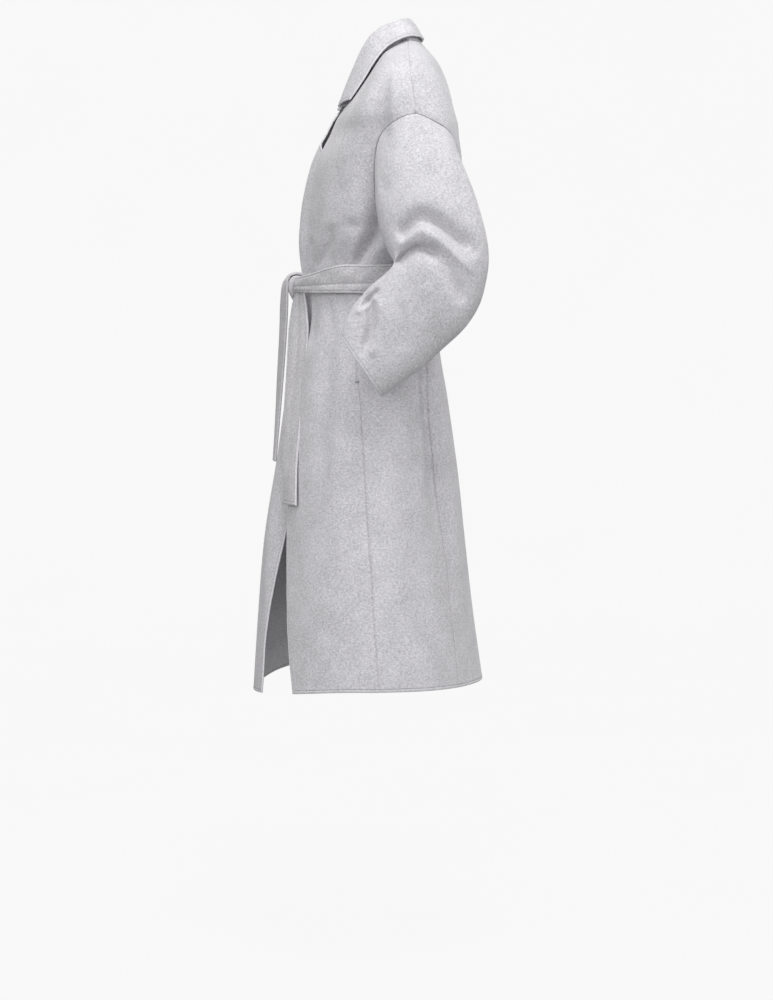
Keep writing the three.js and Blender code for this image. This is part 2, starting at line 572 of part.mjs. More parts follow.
function add(name, geometry, color) {
  const material = new THREE.MeshStandardMaterial({ color, roughness: 0.95, metalness: 0 });
  const mesh = new THREE.Mesh(geometry, material);
  mesh.name = name;
  group.add(mesh);
}

const WOOL = 0xc4c3c6;
const BELT_WOOL = 0xb9b8bc;

add('left_front', cloth(frontPanel(1, PANEL_COLUMNS.leftFront)), WOOL);
add('right_front', cloth(frontPanel(-1, PANEL_COLUMNS.rightFront)), WOOL);
add('left_side', cloth(sidePanel(1)), WOOL);
add('right_side', cloth(sidePanel(-1)), WOOL);
add('back', cloth(backPanel(PANEL_COLUMNS.back)), WOOL);
add('left_sleeve', cloth(sleeve(1), true), WOOL);
add('right_sleeve', cloth(sleeve(-1), true), WOOL);
add('collar', cloth(collar()), WOOL);
add('belt_band', beltBand(), BELT_WOOL);
add('belt_knot', strand(KNOT_ROWS, KNOT_THICKNESS), BELT_WOOL);
add('belt_tail_left', leftTail(), BELT_WOOL);
add('belt_tail_right', strand(RIGHT_TAIL_ROWS, BELT_WALL), BELT_WOOL);

export default group;
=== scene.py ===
# The looks of a belted wool coat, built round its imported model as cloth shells.
# Tables are in millimetres, as the coat is measured; everything that Blender gets is in metres.

import math

import bpy
import numpy as np
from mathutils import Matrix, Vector


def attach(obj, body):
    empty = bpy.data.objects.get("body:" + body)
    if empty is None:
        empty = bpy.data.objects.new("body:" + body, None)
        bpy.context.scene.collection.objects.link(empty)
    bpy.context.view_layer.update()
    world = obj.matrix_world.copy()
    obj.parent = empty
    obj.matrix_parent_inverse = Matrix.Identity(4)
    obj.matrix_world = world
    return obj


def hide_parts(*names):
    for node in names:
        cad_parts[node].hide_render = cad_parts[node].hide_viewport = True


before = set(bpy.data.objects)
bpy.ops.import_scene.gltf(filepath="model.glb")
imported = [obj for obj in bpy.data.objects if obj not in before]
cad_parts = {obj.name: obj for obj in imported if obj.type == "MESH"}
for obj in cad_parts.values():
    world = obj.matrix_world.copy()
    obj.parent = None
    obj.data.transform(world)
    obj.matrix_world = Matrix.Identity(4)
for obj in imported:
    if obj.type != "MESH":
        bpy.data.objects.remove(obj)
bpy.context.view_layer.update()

bl_info = {
    "name": "Belted wool coat",
    "version": (1, 0, 0),
    "blender": (4, 5, 0),
    "location": "3D View > Sidebar > Coat",
    "description": "Builds a belted wool wrap coat as shells of cloth, with its seams and creases",
    "category": "Object",
}

MM = 0.001
ROOT = "root"

SHOULDER_ANGLE = 90
HEM_DROP = {"front": 26, "back": 8}

# The right front under the left one: how deep it lies, the angles before the left one's edge
# over which it tucks in, and how it sinks along that edge above the belt.
UNDERLAP_DEPTH = 6
LAP_ROLL = (16, 3)
LAP_SINK, LAP_SPREAD, LAP_SINK_HEIGHTS = 7.0, 5.0, (-392, -370)

# The armhole turns between which the side panel hangs, and the ring place from which the side
# seams bend towards the armhole.
UNDERARM_TURNS = (-45, -135)
SEAM_BEND = 8

# Body rings from hem to neck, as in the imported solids: height, half width, middle, the foremost
# y of the left and of the right front, the back's y, and the powers of front and back.
BODY_RINGS = (
    (-1073, 252, -50, -230, -250, 146, 2.0, 2.0),
    (-950, 244, -46, -223, -240, 129, 2.0, 2.0),
    (-830, 235, -41, -213, -229, 115, 2.0, 2.0),
    (-713, 224, -37, -199, -210, 103, 2.0, 2.0),
    (-610, 212, -34, -184, -196, 88, 2.0, 2.0),
    (-530, 199, -33, -171, -184, 76, 2.0, 2.0),
    (-475, 182, -35, -160, -174, 68, 2.0, 2.1),
    (-424, 162, -38, -155, -165, 62, 2.0, 2.2),
    (-396, 158, -39, -155, -163, 60, 2.0, 2.2),
    (-369, 160, -37, -157, -166, 62, 2.0, 2.2),
    (-346, 176, -26, -158, -168, 69, 2.0, 2.4),
    (-318, 191, -6, -156, -168, 84, 2.1, 2.9),
    (-262, 202, 17, -151, -162, 101, 2.2, 3.8),
    (-200, 214, 27, -141, -147, 108, 2.2, 4.7),
    (-152, 227, 30, -118, -126, 103, 2.2, 4.3),
    (-120, 230, 28, -101, -112, 97, 2.5, 3.5),
    (-84, 220, 24, -73, -84, 90, 2.9, 2.8),
    (-53, 200, 20, -51, -58, 80, 3.2, 2.4),
    (-27, 166, 18, -35, -38, 67, 3.2, 2.3),
    (-10, 120, 17, -22, -23, 53, 2.8, 2.2),
    (5, 90, 16, -8, -8, 40, 2.4, 2.0),
)
NECK_PLACE = len(BODY_RINGS) - 1

# Edges and seams as (height, angle round the body from centre front).
LEFT_EDGE = (
    (-1100, 47), (-981, 39), (-913, 35), (-775, 28.5), (-600, 27.5), (-471, 27), (-420, 24),
    (-384, 20), (-300, 16.5), (-230, 15.5), (-150, 15), (-104, 15), (-88, 17.5), (-57, 23),
    (-28, 31), (-10, 46), (5, 70),
)
RIGHT_EDGE = (
    (-1100, 25), (-913, 24.5), (-775, 27), (-700, 34), (-600, 40), (-400, 41), (-300, 34), (-230, 24),
    (-192, 14), (-150, -4), (-104, -15), (-88, -17.5), (-57, -23), (-28, -31), (-10, -46), (5, -70),
)
FRONT_SIDE_SEAM = ((-1100, 96), (-881, 89.5), (-703, 83), (-596, 79), (-541, 75), (-455, 78), (-400, 83))
BACK_SIDE_SEAM = ((-1100, 142), (-775, 140.5), (-620, 140), (-500, 143), (-400, 147))

# The armhole in side view, at equal turns from its front over its top and back to its
# bottom, each as y and z.
ARMHOLE = (
    (-38, -232), (-37, -190), (-28, -158), (-6, -138), (26, -126), (58, -138), (85, -156), (97, -188),
    (96, -232), (88, -278), (73, -316), (52, -338), (28, -345), (2, -338), (-19, -316), (-32, -280),
)

# Folds of the body: angle at the top, turn from top to bottom, top, bottom, depth and width.
# A depth above nought is a trough and below nought a ridge.
FOLDS = (
    (60, 8, -40, -345, 9, 7), (76, 2, -225, -396, 12, 8), (46, -9, -300, -390, 6, 6),
    (60, 4, -290, -390, 7, 6),
    (135, 2, -425, -900, 20, 6.5), (151, 1, -430, -1060, -7, 7), (52, 4, -430, -760, 5, 8),
    (70, 3, -600, -1100, -4, 9), (165, -3, -300, -376, 6, 7), (-172, 4, -280, -376, 7, 7),
    (170, -4, -425, -800, 8, 7), (-166, 3, -425, -930, 9, 8), (-66, -5, -95, -340, 8, 8),
    (-38, 4, -305, -376, 6, 7), (-133, -3, -430, -860, 15, 7), (-146, -1, -430, -1040, -7, 8),
    (-58, -4, -430, -800, 7, 8), (-88, -2, -520, -1000, 6, 8),
)

# Smaller folds that only the cloth shells have, in the same columns as the larger ones.
FINE_FOLDS = (
    (62, 14, -60, -388, 7, 6), (73, 4, -150, -394, 21, 5.5), (58, 12, -300, -384, -4, 5),
    (44, -14, -330, -384, 5, 3),
    (131, 3, -424, -760, 9, 3.5), (139, 3, -424, -800, -3, 3),
    (22, 3, -322, -376, 3, 4), (45, 4, -318, -376, 4, 4), (72, 6, -310, -376, 4, 5),
    (30, 4, -424, -520, 3, 4), (48, 3, -424, -500, 3, 4), (66, 2, -424, -560, 4, 5),
    (118, -3, -424, -560, 5, 5), (142, 1, -500, -1073, 2.5, 3.5), (124, 1, -470, -760, -4, 4),
    (150, 5, -84, -200, 5, 4), (141, 3, -70, -170, -3, 4), (160, 4, -110, -260, 3, 6),
    (-22, -3, -322, -376, 3, 4), (-52, -4, -312, -376, 4, 5), (-10, 2, -330, -376, 3, 4),
    (-30, -4, -424, -540, 4, 5), (-12, 2, -424, -500, 3, 4), (-76, -3, -424, -620, 5, 6),
    (-116, 3, -424, -590, 4, 5), (-150, -5, -90, -210, 4, 5), (-148, 3, -500, -1000, 3, 4),
    (178, 2, -424, -600, 3, 5), (156, -2, -424, -560, 4, 5), (-154, 2, -330, -376, 4, 5),
)

# Sleeve rings from below the armhole to the cuff: front and back points in side view, the
# outer and inner x, and how far the outer side is raised above the middle.
SLEEVE_RINGS = (
    (-37, -262, 114, -252, 253, 205, 94), (-32, -295, 129, -283, 273, 212, 76),
    (-21, -332, 143, -328, 290, 216, 55), (-8, -360, 147, -362, 300, 218, 35),
    (-10, -376, 143, -396, 303, 219, 24), (-24, -389, 132, -436, 302, 220, 13),
    (-43, -404, 108, -474, 299, 221, 6), (-62, -424, 70, -510, 296, 222, 2),
    (-78, -446, 38, -540, 293, 223, 0), (-89, -468, 1, -566, 291, 225, 0),
    (-95, -487, -26, -586, 289, 227, 0),
)
CUFF_STATION = len(SLEEVE_RINGS)

# Creases of a sleeve as (depth, width, route), drawn in side view on its outer half.
SLEEVE_CREASES = (
    (8, 15, ((2, -330), (22, -312), (36, -298), (66, -312), (100, -336), (132, -358))),
    (10, 12, ((-10, -374), (8, -352), (30, -342), (58, -347), (78, -366), (106, -432))),
    (7, 10, ((-52, -412), (-46, -440), (-44, -470), (-52, -510))),
)

# Collar sections: share of the way from centre back to the front end, the fold's point and
# the point of the fall's lower edge.
COLLAR_SECTIONS = (
    (0.0, 0, 20, 46, 0, 44.5, 12), (0.2, 42, 14, 43, 67, 35, 10.5), (0.39, 72, -3, 35, 100, 14, 7),
    (0.55, 77, -31, 22, 110, -15, -8), (0.72, 76, -53, 0, 119, -37, -33),
    (0.86, 68, -76, -47, 120, -58, -66), (1.0, 53, -99, -105, 116, -79, -97),
)

# The belt: its two edges about its middle, its ring, and how it gathers towards the tie and
# swells under it. Its strands have rows of their own, looser than the solids', each as
# (height, x and y of one edge, x and y of the other).
BELT_TOP, BELT_BOTTOM = 25, -24
BELT_RING = {"half": 162.9, "middle": -39, "left": -160.5, "right": -169.5, "back": 67}
BELT_HEIGHT = {"front": -405, "back": -394}
BELT_GATHER = {"start": 72, "end": 10, "narrowed": 0.56}
BELT_POWERS = (2.0, 2.2)
BELT_SIDE_BLEND = 22
TIE_BULGE = {"depth": 9.5, "angle": 17, "spread": 15, "height": 30}
KNOT_ROWS = (
    (-393, 24, -159, -12, -159), (-389.5, 26, -169, -14, -169), (-391, 27, -178, -15, -178),
    (-398, 27, -184, -15, -184), (-410, 25, -185, -13, -185), (-421, 20, -182, -8, -182),
    (-431, 12, -177, -2, -177),
)
LEFT_TAIL_ROWS = (
    (-412, 14, -174, 44, -160), (-428, 20, -180, 58, -156), (-455, 28, -185, 72, -153),
    (-483, 36, -188, 82, -152), (-540, 50, -190, 95, -156), (-620, 68, -193, 114, -164),
    (-700, 88, -195, 134, -170), (-772, 108, -195, 154, -170),
)
RIGHT_TAIL_ROWS = (
    (-390, 22, -158, -14, -158), (-384.5, 23, -169, -16, -170), (-385.5, 23, -179, -18, -182),
    (-391, 22, -187, -20, -192), (-404, 20, -189, -23, -200), (-436, 14, -190, -29, -204),
    (-480, 8, -193, -38, -205.5), (-560, 0, -200, -50, -209), (-620, -5, -205, -56, -211),
    (-709, -10, -212, -61, -215),
)

# The two sides of the coat: the sign of x and the name of each side's pieces.
SIDES = ((1, "left"), (-1, "right"))

# The walls of the cloth, the belt and the tie, which is a thick gathered strand.
WALL = 2.6
BELT_WALL = 3.4
KNOT_WALL = 9.0

# The studio, in metres: where most of the light comes from, the paper's glow, the soft lights
# as place, aim and size, and the camera's place along the coat.
SKY_FROM = (0.75, 0.3, 0.65)
STAGE_GLOW = 0.92
KEY_LIGHT = ((1.2, 0.2, 2.4), (0, 0, -0.45), 1.3)
FILL_LIGHT = ((2.6, -2.4, 0.6), (0, 0, -0.6), 2.2)
CAMERA_Y = -0.019

# How far a seam spreads, the low ridge that its allowances make beside it, and the width of
# the groove that stitching makes.
SEAM_SPREAD = 1.3
SEAM_RIDGE, RIDGE_AWAY, RIDGE_SPREAD = 0.4, 3.4, 2.2
GROOVE_SPREAD = 0.75

# How finely the cloth is made, in millimetres or degrees.
FINE_STEP = 6.5
EDGE_STEPS = (0, 0.5, 1.2, 2.2, 3.4, 4.3, 5.0, 5.7, 6.6, 8.5, 11.5)
TURN_STEP = 3
SEAM_STEPS = (0, 1.5, 3, 5)
PANEL_SEAM_STEPS = (0, 2.5, 5.5)
SLEEVE_TURNS = 180
SLEEVE_STEP = 3.6
COLLAR_STEP = 3
BELT_TURNS = 480
BELT_STEP = 1.6
STRAND_STEP = 2.5
FAR = 1e3

# The stations over which the creases fade in and out: those of the table and the finer ones.
CREASE_FADE = ((0.6, 1.6), (11, 9.5))
FINE_FADE = ((0.1, 0.8), (11, 10.2))

# The collar: the ring place where its seam starts at the fronts, the faint sway of its fall,
# and how much of the neckline's uneven sides its fold follows.
COLLAR_FOOT = 15.5
COLLAR_SWAY = 0.9
FOLD_SHIFT = 0.25

# The bar tack at the low end of a pocket opening: its height on the body, half its width, its
# stitches and the sides of each, half a stitch's length, its radius and that of its tips.
TACK_Z = -564
TACK_HALF_WIDTH = 1.4
TACK_STITCHES, TACK_SIDES = 14, 6
TACK_REACH, TACK_RADIUS, TACK_TIP = 1.5, 0.45, 0.18

# Creases that only the cloth shells have: of the left sleeve, the right one, and both
# sleeves' inner halves. Two widths are those to the left and right along the route.
LEFT_CREASES = (
    (17, (3.2, 13), ((-8, -374), (2, -360), (17, -346), (28, -341), (42, -341), (56, -347), (70, -359))),
    (4, (7, 9), ((64, -356), (72, -374), (82, -392), (94, -410), (106, -438))),
    (-5, (8, 6), ((-12, -360), (4, -338), (24, -323), (40, -317), (61, -329), (82, -347),
                  (104, -368), (124, -388))),
    (14, (15, 4.5), ((4, -338), (14, -318), (26, -303), (38, -297), (54, -302), (72, -313),
                     (92, -330), (116, -348))),
    (11, (5, 3), ((-62, -444), (-52, -434), (-42, -423), (-30, -410))),
    (-5, (5, 5), ((-70, -450), (-58, -442), (-47, -432), (-36, -420))),
    (8, (3.5, 7), ((-45, -418), (-42, -440), (-42, -462), (-50, -496), (-56, -520))),
    (-3, 7, ((-30, -424), (-28, -450), (-34, -484), (-44, -520))),
    (2, 12, ((0, -430), (10, -470), (4, -510))),
    (-2, 14, ((40, -400), (52, -440), (40, -480))),
    (3, (9, 5), ((-28, -150), (-31, -190), (-29, -230), (-21, -268))),
    (2, 11, ((40, -150), (46, -200), (44, -250))),
    (2.5, 9, ((92, -180), (100, -230), (106, -270))),
)
RIGHT_CREASES = (
    (12, (3.5, 12), ((-10, -370), (4, -355), (20, -345), (38, -343), (56, -350), (72, -366))),
    (-7, (8, 7), ((-6, -352), (14, -332), (36, -322), (60, -332), (84, -352), (108, -374))),
    (10, (14, 4.5), ((8, -330), (20, -310), (36, -300), (58, -306), (82, -324), (106, -344))),
    (5, (4, 3), ((-60, -436), (-48, -426), (-34, -414))),
    (4, (4, 6), ((-42, -422), (-39, -450), (-44, -488))),
    (3, 9, ((34, -416), (52, -446), (58, -486))),
    (-3, 10, ((12, -404), (30, -436), (34, -474))),
    (3, 8, ((-24, -150), (-28, -200), (-24, -250))),
    (2.5, 9, ((50, -160), (54, -210), (50, -260))),
)
INNER_CREASES = (
    (5, 8, ((-10, -368), (10, -352), (40, -344), (74, -356))),
    (4, 7, ((0, -400), (20, -390), (50, -396))),
    (4, 8, ((-30, -440), (0, -452), (30, -480))),
)


def mix(a, b, share):
    return a + (b - a) * share


def smooth_step(low, high, value):
    share = np.clip((value - low) / (high - low), 0, 1)
    return share * share * (3 - 2 * share)


def run_along(route):
    """The distance along a route at each of its points."""
    return np.concatenate([[0], np.cumsum(np.linalg.norm(np.diff(route, axis=0), axis=1))])


def along_rows(rows, place):
    """Rows of numbers read at any place along them, smooth through each row."""
    values = np.asarray(rows, float)
    last = len(values) - 1
    place = np.asarray(place, float)
    index = np.clip(np.floor(place).astype(int), 0, last - 1)
    share = (place - index)[..., None]
    a, b, c, d = (values[np.clip(index + step, 0, last)] for step in (-1, 0, 1, 2))
    return 0.5 * (
        2 * b + (c - a) * share + (2 * a - 5 * b + 4 * c - d) * share**2
        + (3 * b - a - 3 * c + d) * share**3
    )


def by_first_column(rows, value):
    """The other columns of a table where its first, rising, column has a value."""
    values = np.asarray(rows, float)
    place = np.interp(value, values[:, 0], np.arange(len(values)))
    return along_rows(values[:, 1:], place)


def edge_angle(table, z):
    return by_first_column(table, z)[..., 0]


def ring_z(place):
    return along_rows(BODY_RINGS, place)[..., 0]


def place_at_height(z):
    places = np.linspace(0, NECK_PLACE, 4001)
    return np.interp(z, ring_z(places), places)


def fold_depth(angle, z, folds):
    depth = np.zeros(np.broadcast(angle, z).shape)
    for at, lean, top, bottom, deep, width in folds:
        share = (top - z) / (top - bottom)
        away = np.abs((angle - at - lean * share + 540) % 360 - 180)
        fade = smooth_step(0, 0.22, share) * smooth_step(1, 0.6, share)
        dent = deep * fade * np.exp(-((away / width) ** 2))
        depth = depth + np.where((share > 0) & (share < 1), dent, 0)
    return depth


def body_point(angle, place, under=False):
    """Points of the body's outer face in millimetres: the solids' form with finer folds."""
    angle, place = np.broadcast_arrays(np.asarray(angle, float), np.asarray(place, float))
    ring = along_rows(BODY_RINGS, np.clip(place, 0, NECK_PLACE))
    z, half, middle, left, right, back, front_power, back_power = (ring[..., i] for i in range(8))
    sine, cosine = np.sin(np.radians(angle)), np.cos(np.radians(angle))
    lap = edge_angle(LEFT_EDGE, z)
    tucked = np.zeros_like(angle)
    if under:
        tucked = smooth_step(lap - LAP_ROLL[0], lap - LAP_ROLL[1], angle)
    foremost = mix(right, left, tucked if under else (angle >= 0).astype(float))
    depth = np.where(cosine > 0, middle - foremost, back - middle)
    power = np.where(cosine > 0, front_power, back_power)
    radius = (np.abs(sine) ** power + np.abs(cosine) ** power) ** (-1 / power)
    x = half * radius * sine
    y = middle - depth * radius * cosine
    out = np.stack([x / half**2, (y - middle) / depth**2], -1)
    out /= np.linalg.norm(out, axis=-1, keepdims=True)
    inward = fold_depth(angle, z, FOLDS) + fold_depth(angle, z, FINE_FOLDS) + tucked * UNDERLAP_DEPTH
    inward = inward + ripple(angle, z)
    if under:
        sink = LAP_SINK * np.exp(-(((angle - lap) / LAP_SPREAD) ** 2))
        inward = inward + sink * smooth_step(*LAP_SINK_HEIGHTS, z)
    hem_drop = np.where(cosine > 0, HEM_DROP["front"], HEM_DROP["back"])
    drop = smooth_step(3, 0, place) * hem_drop * cosine**2
    return np.stack([x - out[..., 0] * inward, y - out[..., 1] * inward, z - drop], -1)


def ripple(angle, z):
    """The faint unevenness of heavy cloth that hangs, quiet under the belt."""
    turn = np.radians(angle)
    wave = 0.9 * np.sin(5 * turn + z / 95 + 0.7) + 0.7 * np.sin(9 * turn - z / 140 + 2.1)
    wave = wave + 0.5 * np.sin(14 * turn + z / 60)
    belt = np.exp(-(((z + 399) / 42) ** 2))
    return wave * (1 - belt)


def armhole_outline(turn):
    """The armhole in side view, from 0 at its front through 90 at its top to 180 at its back."""
    place = np.asarray(turn, float) % 360 * len(ARMHOLE) / 360
    closed = ARMHOLE[-1:] + ARMHOLE + ARMHOLE[:2]
    spot = along_rows(closed, place + 1)
    return spot[..., 0], spot[..., 1]


def armhole_place(turn, side):
    """Where the armhole outline meets the body, as the body's angle and place, by halving."""
    turn = np.asarray(turn, float)
    y, z = armhole_outline(turn)
    place = place_at_height(z)
    low, high = np.full(turn.shape, 20.0), np.full(turn.shape, 170.0)
    for _ in range(40):
        middle = (low + high) / 2
        short = body_point(side * middle, place)[..., 1] < y
        low, high = np.where(short, middle, low), np.where(short, high, middle)
    top = np.abs((turn + 720) % 360 - 90) < 0.01
    return side * np.where(top, SHOULDER_ANGLE, low), place


def spaced(low, high, step):
    """Values from low to high no further apart than a step."""
    return np.linspace(low, high, max(2, int(np.ceil(abs(high - low) / step)) + 1))


def even_places(low, high, step):
    """Ring places from low to high that are a step apart along the body's side."""
    fine = np.linspace(low, high, 400)
    length = run_along(body_point(90.0, fine))
    return np.interp(spaced(0, length[-1], step), length, fine)


def seam_rows(seam, turns, side):
    """Ring places of a panel's rows, and the angle of its outer seam in each."""
    low_angle, low_place = armhole_place(turns[:1], side)
    places = low_rows(low_place[0])
    angles = edge_angle(seam, ring_z(places))
    near = smooth_step(SEAM_BEND, low_place[0], places)
    seam_angles = side * mix(angles, abs(low_angle[0]), near)
    arm_angles, arm_places = armhole_place(turns, side)
    high = even_places(arm_places[-1], NECK_PLACE, FINE_STEP)[1:]
    shoulder = np.full(len(high), side * float(SHOULDER_ANGLE))
    return (
        np.concatenate([places[:-1], arm_places, high]),
        np.concatenate([seam_angles[:-1], arm_angles, shoulder]),
    )


def low_rows(top):
    """Rows from the hem to the bottom of the armhole, close together at the hem."""
    hem = even_places(0, top, 0.5)
    run = np.arange(len(hem)) * 0.5
    inner = spaced(EDGE_STEPS[-1], run[-1], FINE_STEP)
    return np.interp(np.concatenate([EDGE_STEPS[:-1], inner]), run, hem)


def panel_turns(low, high):
    return spaced(low, high, TURN_STEP)


def across(start, end, rows, under, edges):
    """Angles of a panel's columns in each row, crowded where an edge or a seam is."""
    start, span = start[:, None], (end - start)[:, None]
    wide = body_point(start + span * np.linspace(0, 1, 41)[None], rows[:, None], under)
    length = np.linalg.norm(np.diff(wide, axis=1), axis=2).sum(1)
    first, last = (np.array(EDGE_STEPS if crowded else PANEL_SEAM_STEPS) for crowded in edges)
    middle = int(np.ceil((length.max() - first[-1] - last[-1]) / FINE_STEP))
    need = first[-1] + last[-1] + 4
    scale = np.minimum(1, length / need * 0.98)[:, None]
    head, tail = first[None] * scale, length[:, None] - last[::-1][None] * scale
    body = head[:, -1:] + (tail[:, :1] - head[:, -1:]) * (np.arange(1, middle) / middle)[None]
    share = np.concatenate([head, body, tail], 1) / length[:, None]
    return start + span * share


def sewing():
    return bpy.context.scene.coat_sewing


def arc_distances(points):
    """Distances over the cloth from the left, right, bottom and top of a grid of points."""
    right = np.linalg.norm(np.diff(points, axis=1), axis=2)
    up = np.linalg.norm(np.diff(points, axis=0), axis=2)
    left = np.concatenate([np.zeros((len(points), 1)), np.cumsum(right, 1)], 1)
    bottom = np.concatenate([np.zeros((1, points.shape[1])), np.cumsum(up, 0)], 0)
    return {"left": left, "right": left[:, -1:] - left, "bottom": bottom, "top": bottom[-1:] - bottom}


def grid_normals(points, wrap):
    if wrap:
        along = np.roll(points, -1, 1) - np.roll(points, 1, 1)
    else:
        along = np.gradient(points, axis=1)
    normals = np.cross(along, np.gradient(points, axis=0))
    return normals / np.maximum(np.linalg.norm(normals, axis=2, keepdims=True), 1e-9)


def nearest_edge(distances, edges, kind, shape):
    wanted = [distances[name] for name, what in edges.items() if what == kind]
    return np.minimum.reduce(wanted) if wanted else np.full(shape, FAR)


def shell_faces(rows, columns, wrap):
    """The faces of a closed wall: outer side, inner side and the rims between them."""
    spans = columns if wrap else columns - 1

    def quads(*corners):
        return np.stack([(side * rows + row) * columns + column for row, column, side in corners], 1)

    r, c = np.meshgrid(np.arange(rows - 1), np.arange(spans), indexing="ij")
    r, c, d = r.ravel(), c.ravel(), (c.ravel() + 1) % columns
    faces = [
        quads((r, c, 0), (r, d, 0), (r + 1, d, 0), (r + 1, c, 0)),
        quads((r, c, 1), (r + 1, c, 1), (r + 1, d, 1), (r, d, 1)),
    ]
    c, top = np.arange(spans), rows - 1
    d = (c + 1) % columns
    faces.append(quads((0, c, 0), (0, c, 1), (0, d, 1), (0, d, 0)))
    faces.append(quads((top, c, 0), (top, d, 0), (top, d, 1), (top, c, 1)))
    if not wrap:
        r, end = np.arange(rows - 1), columns - 1
        faces.append(quads((r, 0, 0), (r + 1, 0, 0), (r + 1, 0, 1), (r, 0, 1)))
        faces.append(quads((r, end, 0), (r, end, 1), (r + 1, end, 1), (r + 1, end, 0)))
    return np.concatenate(faces)


def add_uv_map(mesh, name, values):
    corners = np.empty(len(mesh.loops), int)
    mesh.loops.foreach_get("vertex_index", corners)
    layer = mesh.uv_layers.new(name=name)
    layer.data.foreach_set("uv", values[corners].astype(np.float32).ravel())


def placed(name, data):
    """An object for a mesh, a light or a camera, put into the scene."""
    piece = bpy.data.objects.new(name, data)
    bpy.context.scene.collection.objects.link(piece)
    return piece


def shell_object(name, outer, inner, wrap, maps):
    """A closed smooth wall between two grids of points in millimetres, with its UV maps."""
    rows, columns = outer.shape[:2]
    points = np.concatenate([outer.reshape(-1, 3), inner.reshape(-1, 3)]) * MM
    mesh = bpy.data.meshes.new(name)
    mesh.from_pydata(points.tolist(), [], shell_faces(rows, columns, wrap).tolist())
    for map_name, values in maps.items():
        flat = values.reshape(-1, 2)
        add_uv_map(mesh, map_name, np.concatenate([flat, flat]) * MM)
    mesh.polygons.foreach_set("use_smooth", np.ones(len(mesh.polygons), bool))
    mesh.update()
    return placed(name, mesh)


def sewn_relief(free, seam):
    """How full the cloth is, and how far it rises and dips, by distance from edges and seams."""
    sew = sewing()
    full = np.sqrt(np.clip(1 - (1 - np.clip(free / (sew.edge_roll / MM), 0, 1)) ** 2, 0.0025, 1))
    puff = sew.edge_puff / MM * smooth_step(0.4, 2, free) * (1 - smooth_step(3.4, 9, free))
    groove = sew.stitch_depth / MM * np.exp(-(((free - sew.stitch_inset / MM) / GROOVE_SPREAD) ** 2))
    dip = sew.seam_dip / MM * np.exp(-((seam / SEAM_SPREAD) ** 2))
    ridge = SEAM_RIDGE * np.exp(-(((seam - RIDGE_AWAY) / RIDGE_SPREAD) ** 2))
    return full, puff - groove, dip - ridge


def cloth_shell(name, points, edges, wrap=False, wall=WALL, lift=0):
    """A shell of cloth with its outer face on the points, turned edges, stitching and seams."""
    distances = arc_distances(points)
    shape = points.shape[:2]
    free = nearest_edge(distances, edges, "free", shape)
    seam = nearest_edge(distances, edges, "seam", shape)
    normals = grid_normals(points, wrap)
    full, edge_rise, seam_dip = sewn_relief(free, seam)
    middle = points - normals * wall / 2
    outer = middle + normals * (wall / 2 * full + edge_rise - seam_dip + lift)[..., None]
    inner = middle - normals * (wall / 2 * full + edge_rise - lift)[..., None]
    sideways = np.minimum(distances["left"], distances["right"]) < 12
    run = np.where(sideways & (not wrap), distances["bottom"], distances["left"])
    maps = {
        "cloth": np.stack([distances["left"], distances["bottom"]], -1),
        "edge": np.stack([np.minimum(free, 60), run], -1),
    }
    return shell_object(name, outer, inner, wrap, maps)


def front_panel(side, name):
    under = side < 0
    places, seam = seam_rows(FRONT_SIDE_SEAM, panel_turns(UNDERARM_TURNS[0], 90), side)
    edge = edge_angle(RIGHT_EDGE if under else LEFT_EDGE, ring_z(places))
    start, end = (seam, edge) if under else (edge, seam)
    angles = across(start, end, places, under, (not under, under))
    points = body_point(angles, np.broadcast_to(places[:, None], angles.shape), under)
    edges = {"left": "seam", "right": "free"} if under else {"left": "free", "right": "seam"}
    return cloth_shell(name, points, {**edges, "bottom": "free", "top": "seam"})


def side_panel(side, name):
    turns = panel_turns(*UNDERARM_TURNS)
    top_angles, top_places = armhole_place(turns, side)
    low = low_rows(top_places[0])
    bent = smooth_step(SEAM_BEND, top_places[0], low)
    front = side * mix(edge_angle(FRONT_SIDE_SEAM, ring_z(low)), abs(top_angles[0]), bent)
    back = side * mix(edge_angle(BACK_SIDE_SEAM, ring_z(low)), abs(top_angles[-1]), bent)
    share = low / low[-1]
    over = np.linspace(0, 1, len(turns))
    bend = top_angles - mix(top_angles[0], top_angles[-1], over)
    close = smooth_step(0.75, 1, share)[:, None]
    angles = mix(front[:, None], back[:, None], over[None]) + close * bend[None]
    points = body_point(angles, top_places[None] * share[:, None], side < 0)
    if side < 0:
        points = points[:, ::-1]
    return cloth_shell(name, points, {"left": "seam", "right": "seam", "bottom": "free", "top": "seam"})


def back_panel(name):
    turns = panel_turns(UNDERARM_TURNS[1], -270)
    places, left = seam_rows(BACK_SIDE_SEAM, turns, 1)
    right = 360 + seam_rows(BACK_SIDE_SEAM, turns, -1)[1]
    angles = across(left, right, places, False, (False, False))
    points = body_point(angles, np.broadcast_to(places[:, None], angles.shape))
    return cloth_shell(name, points, {"left": "seam", "right": "seam", "bottom": "free", "top": "seam"})


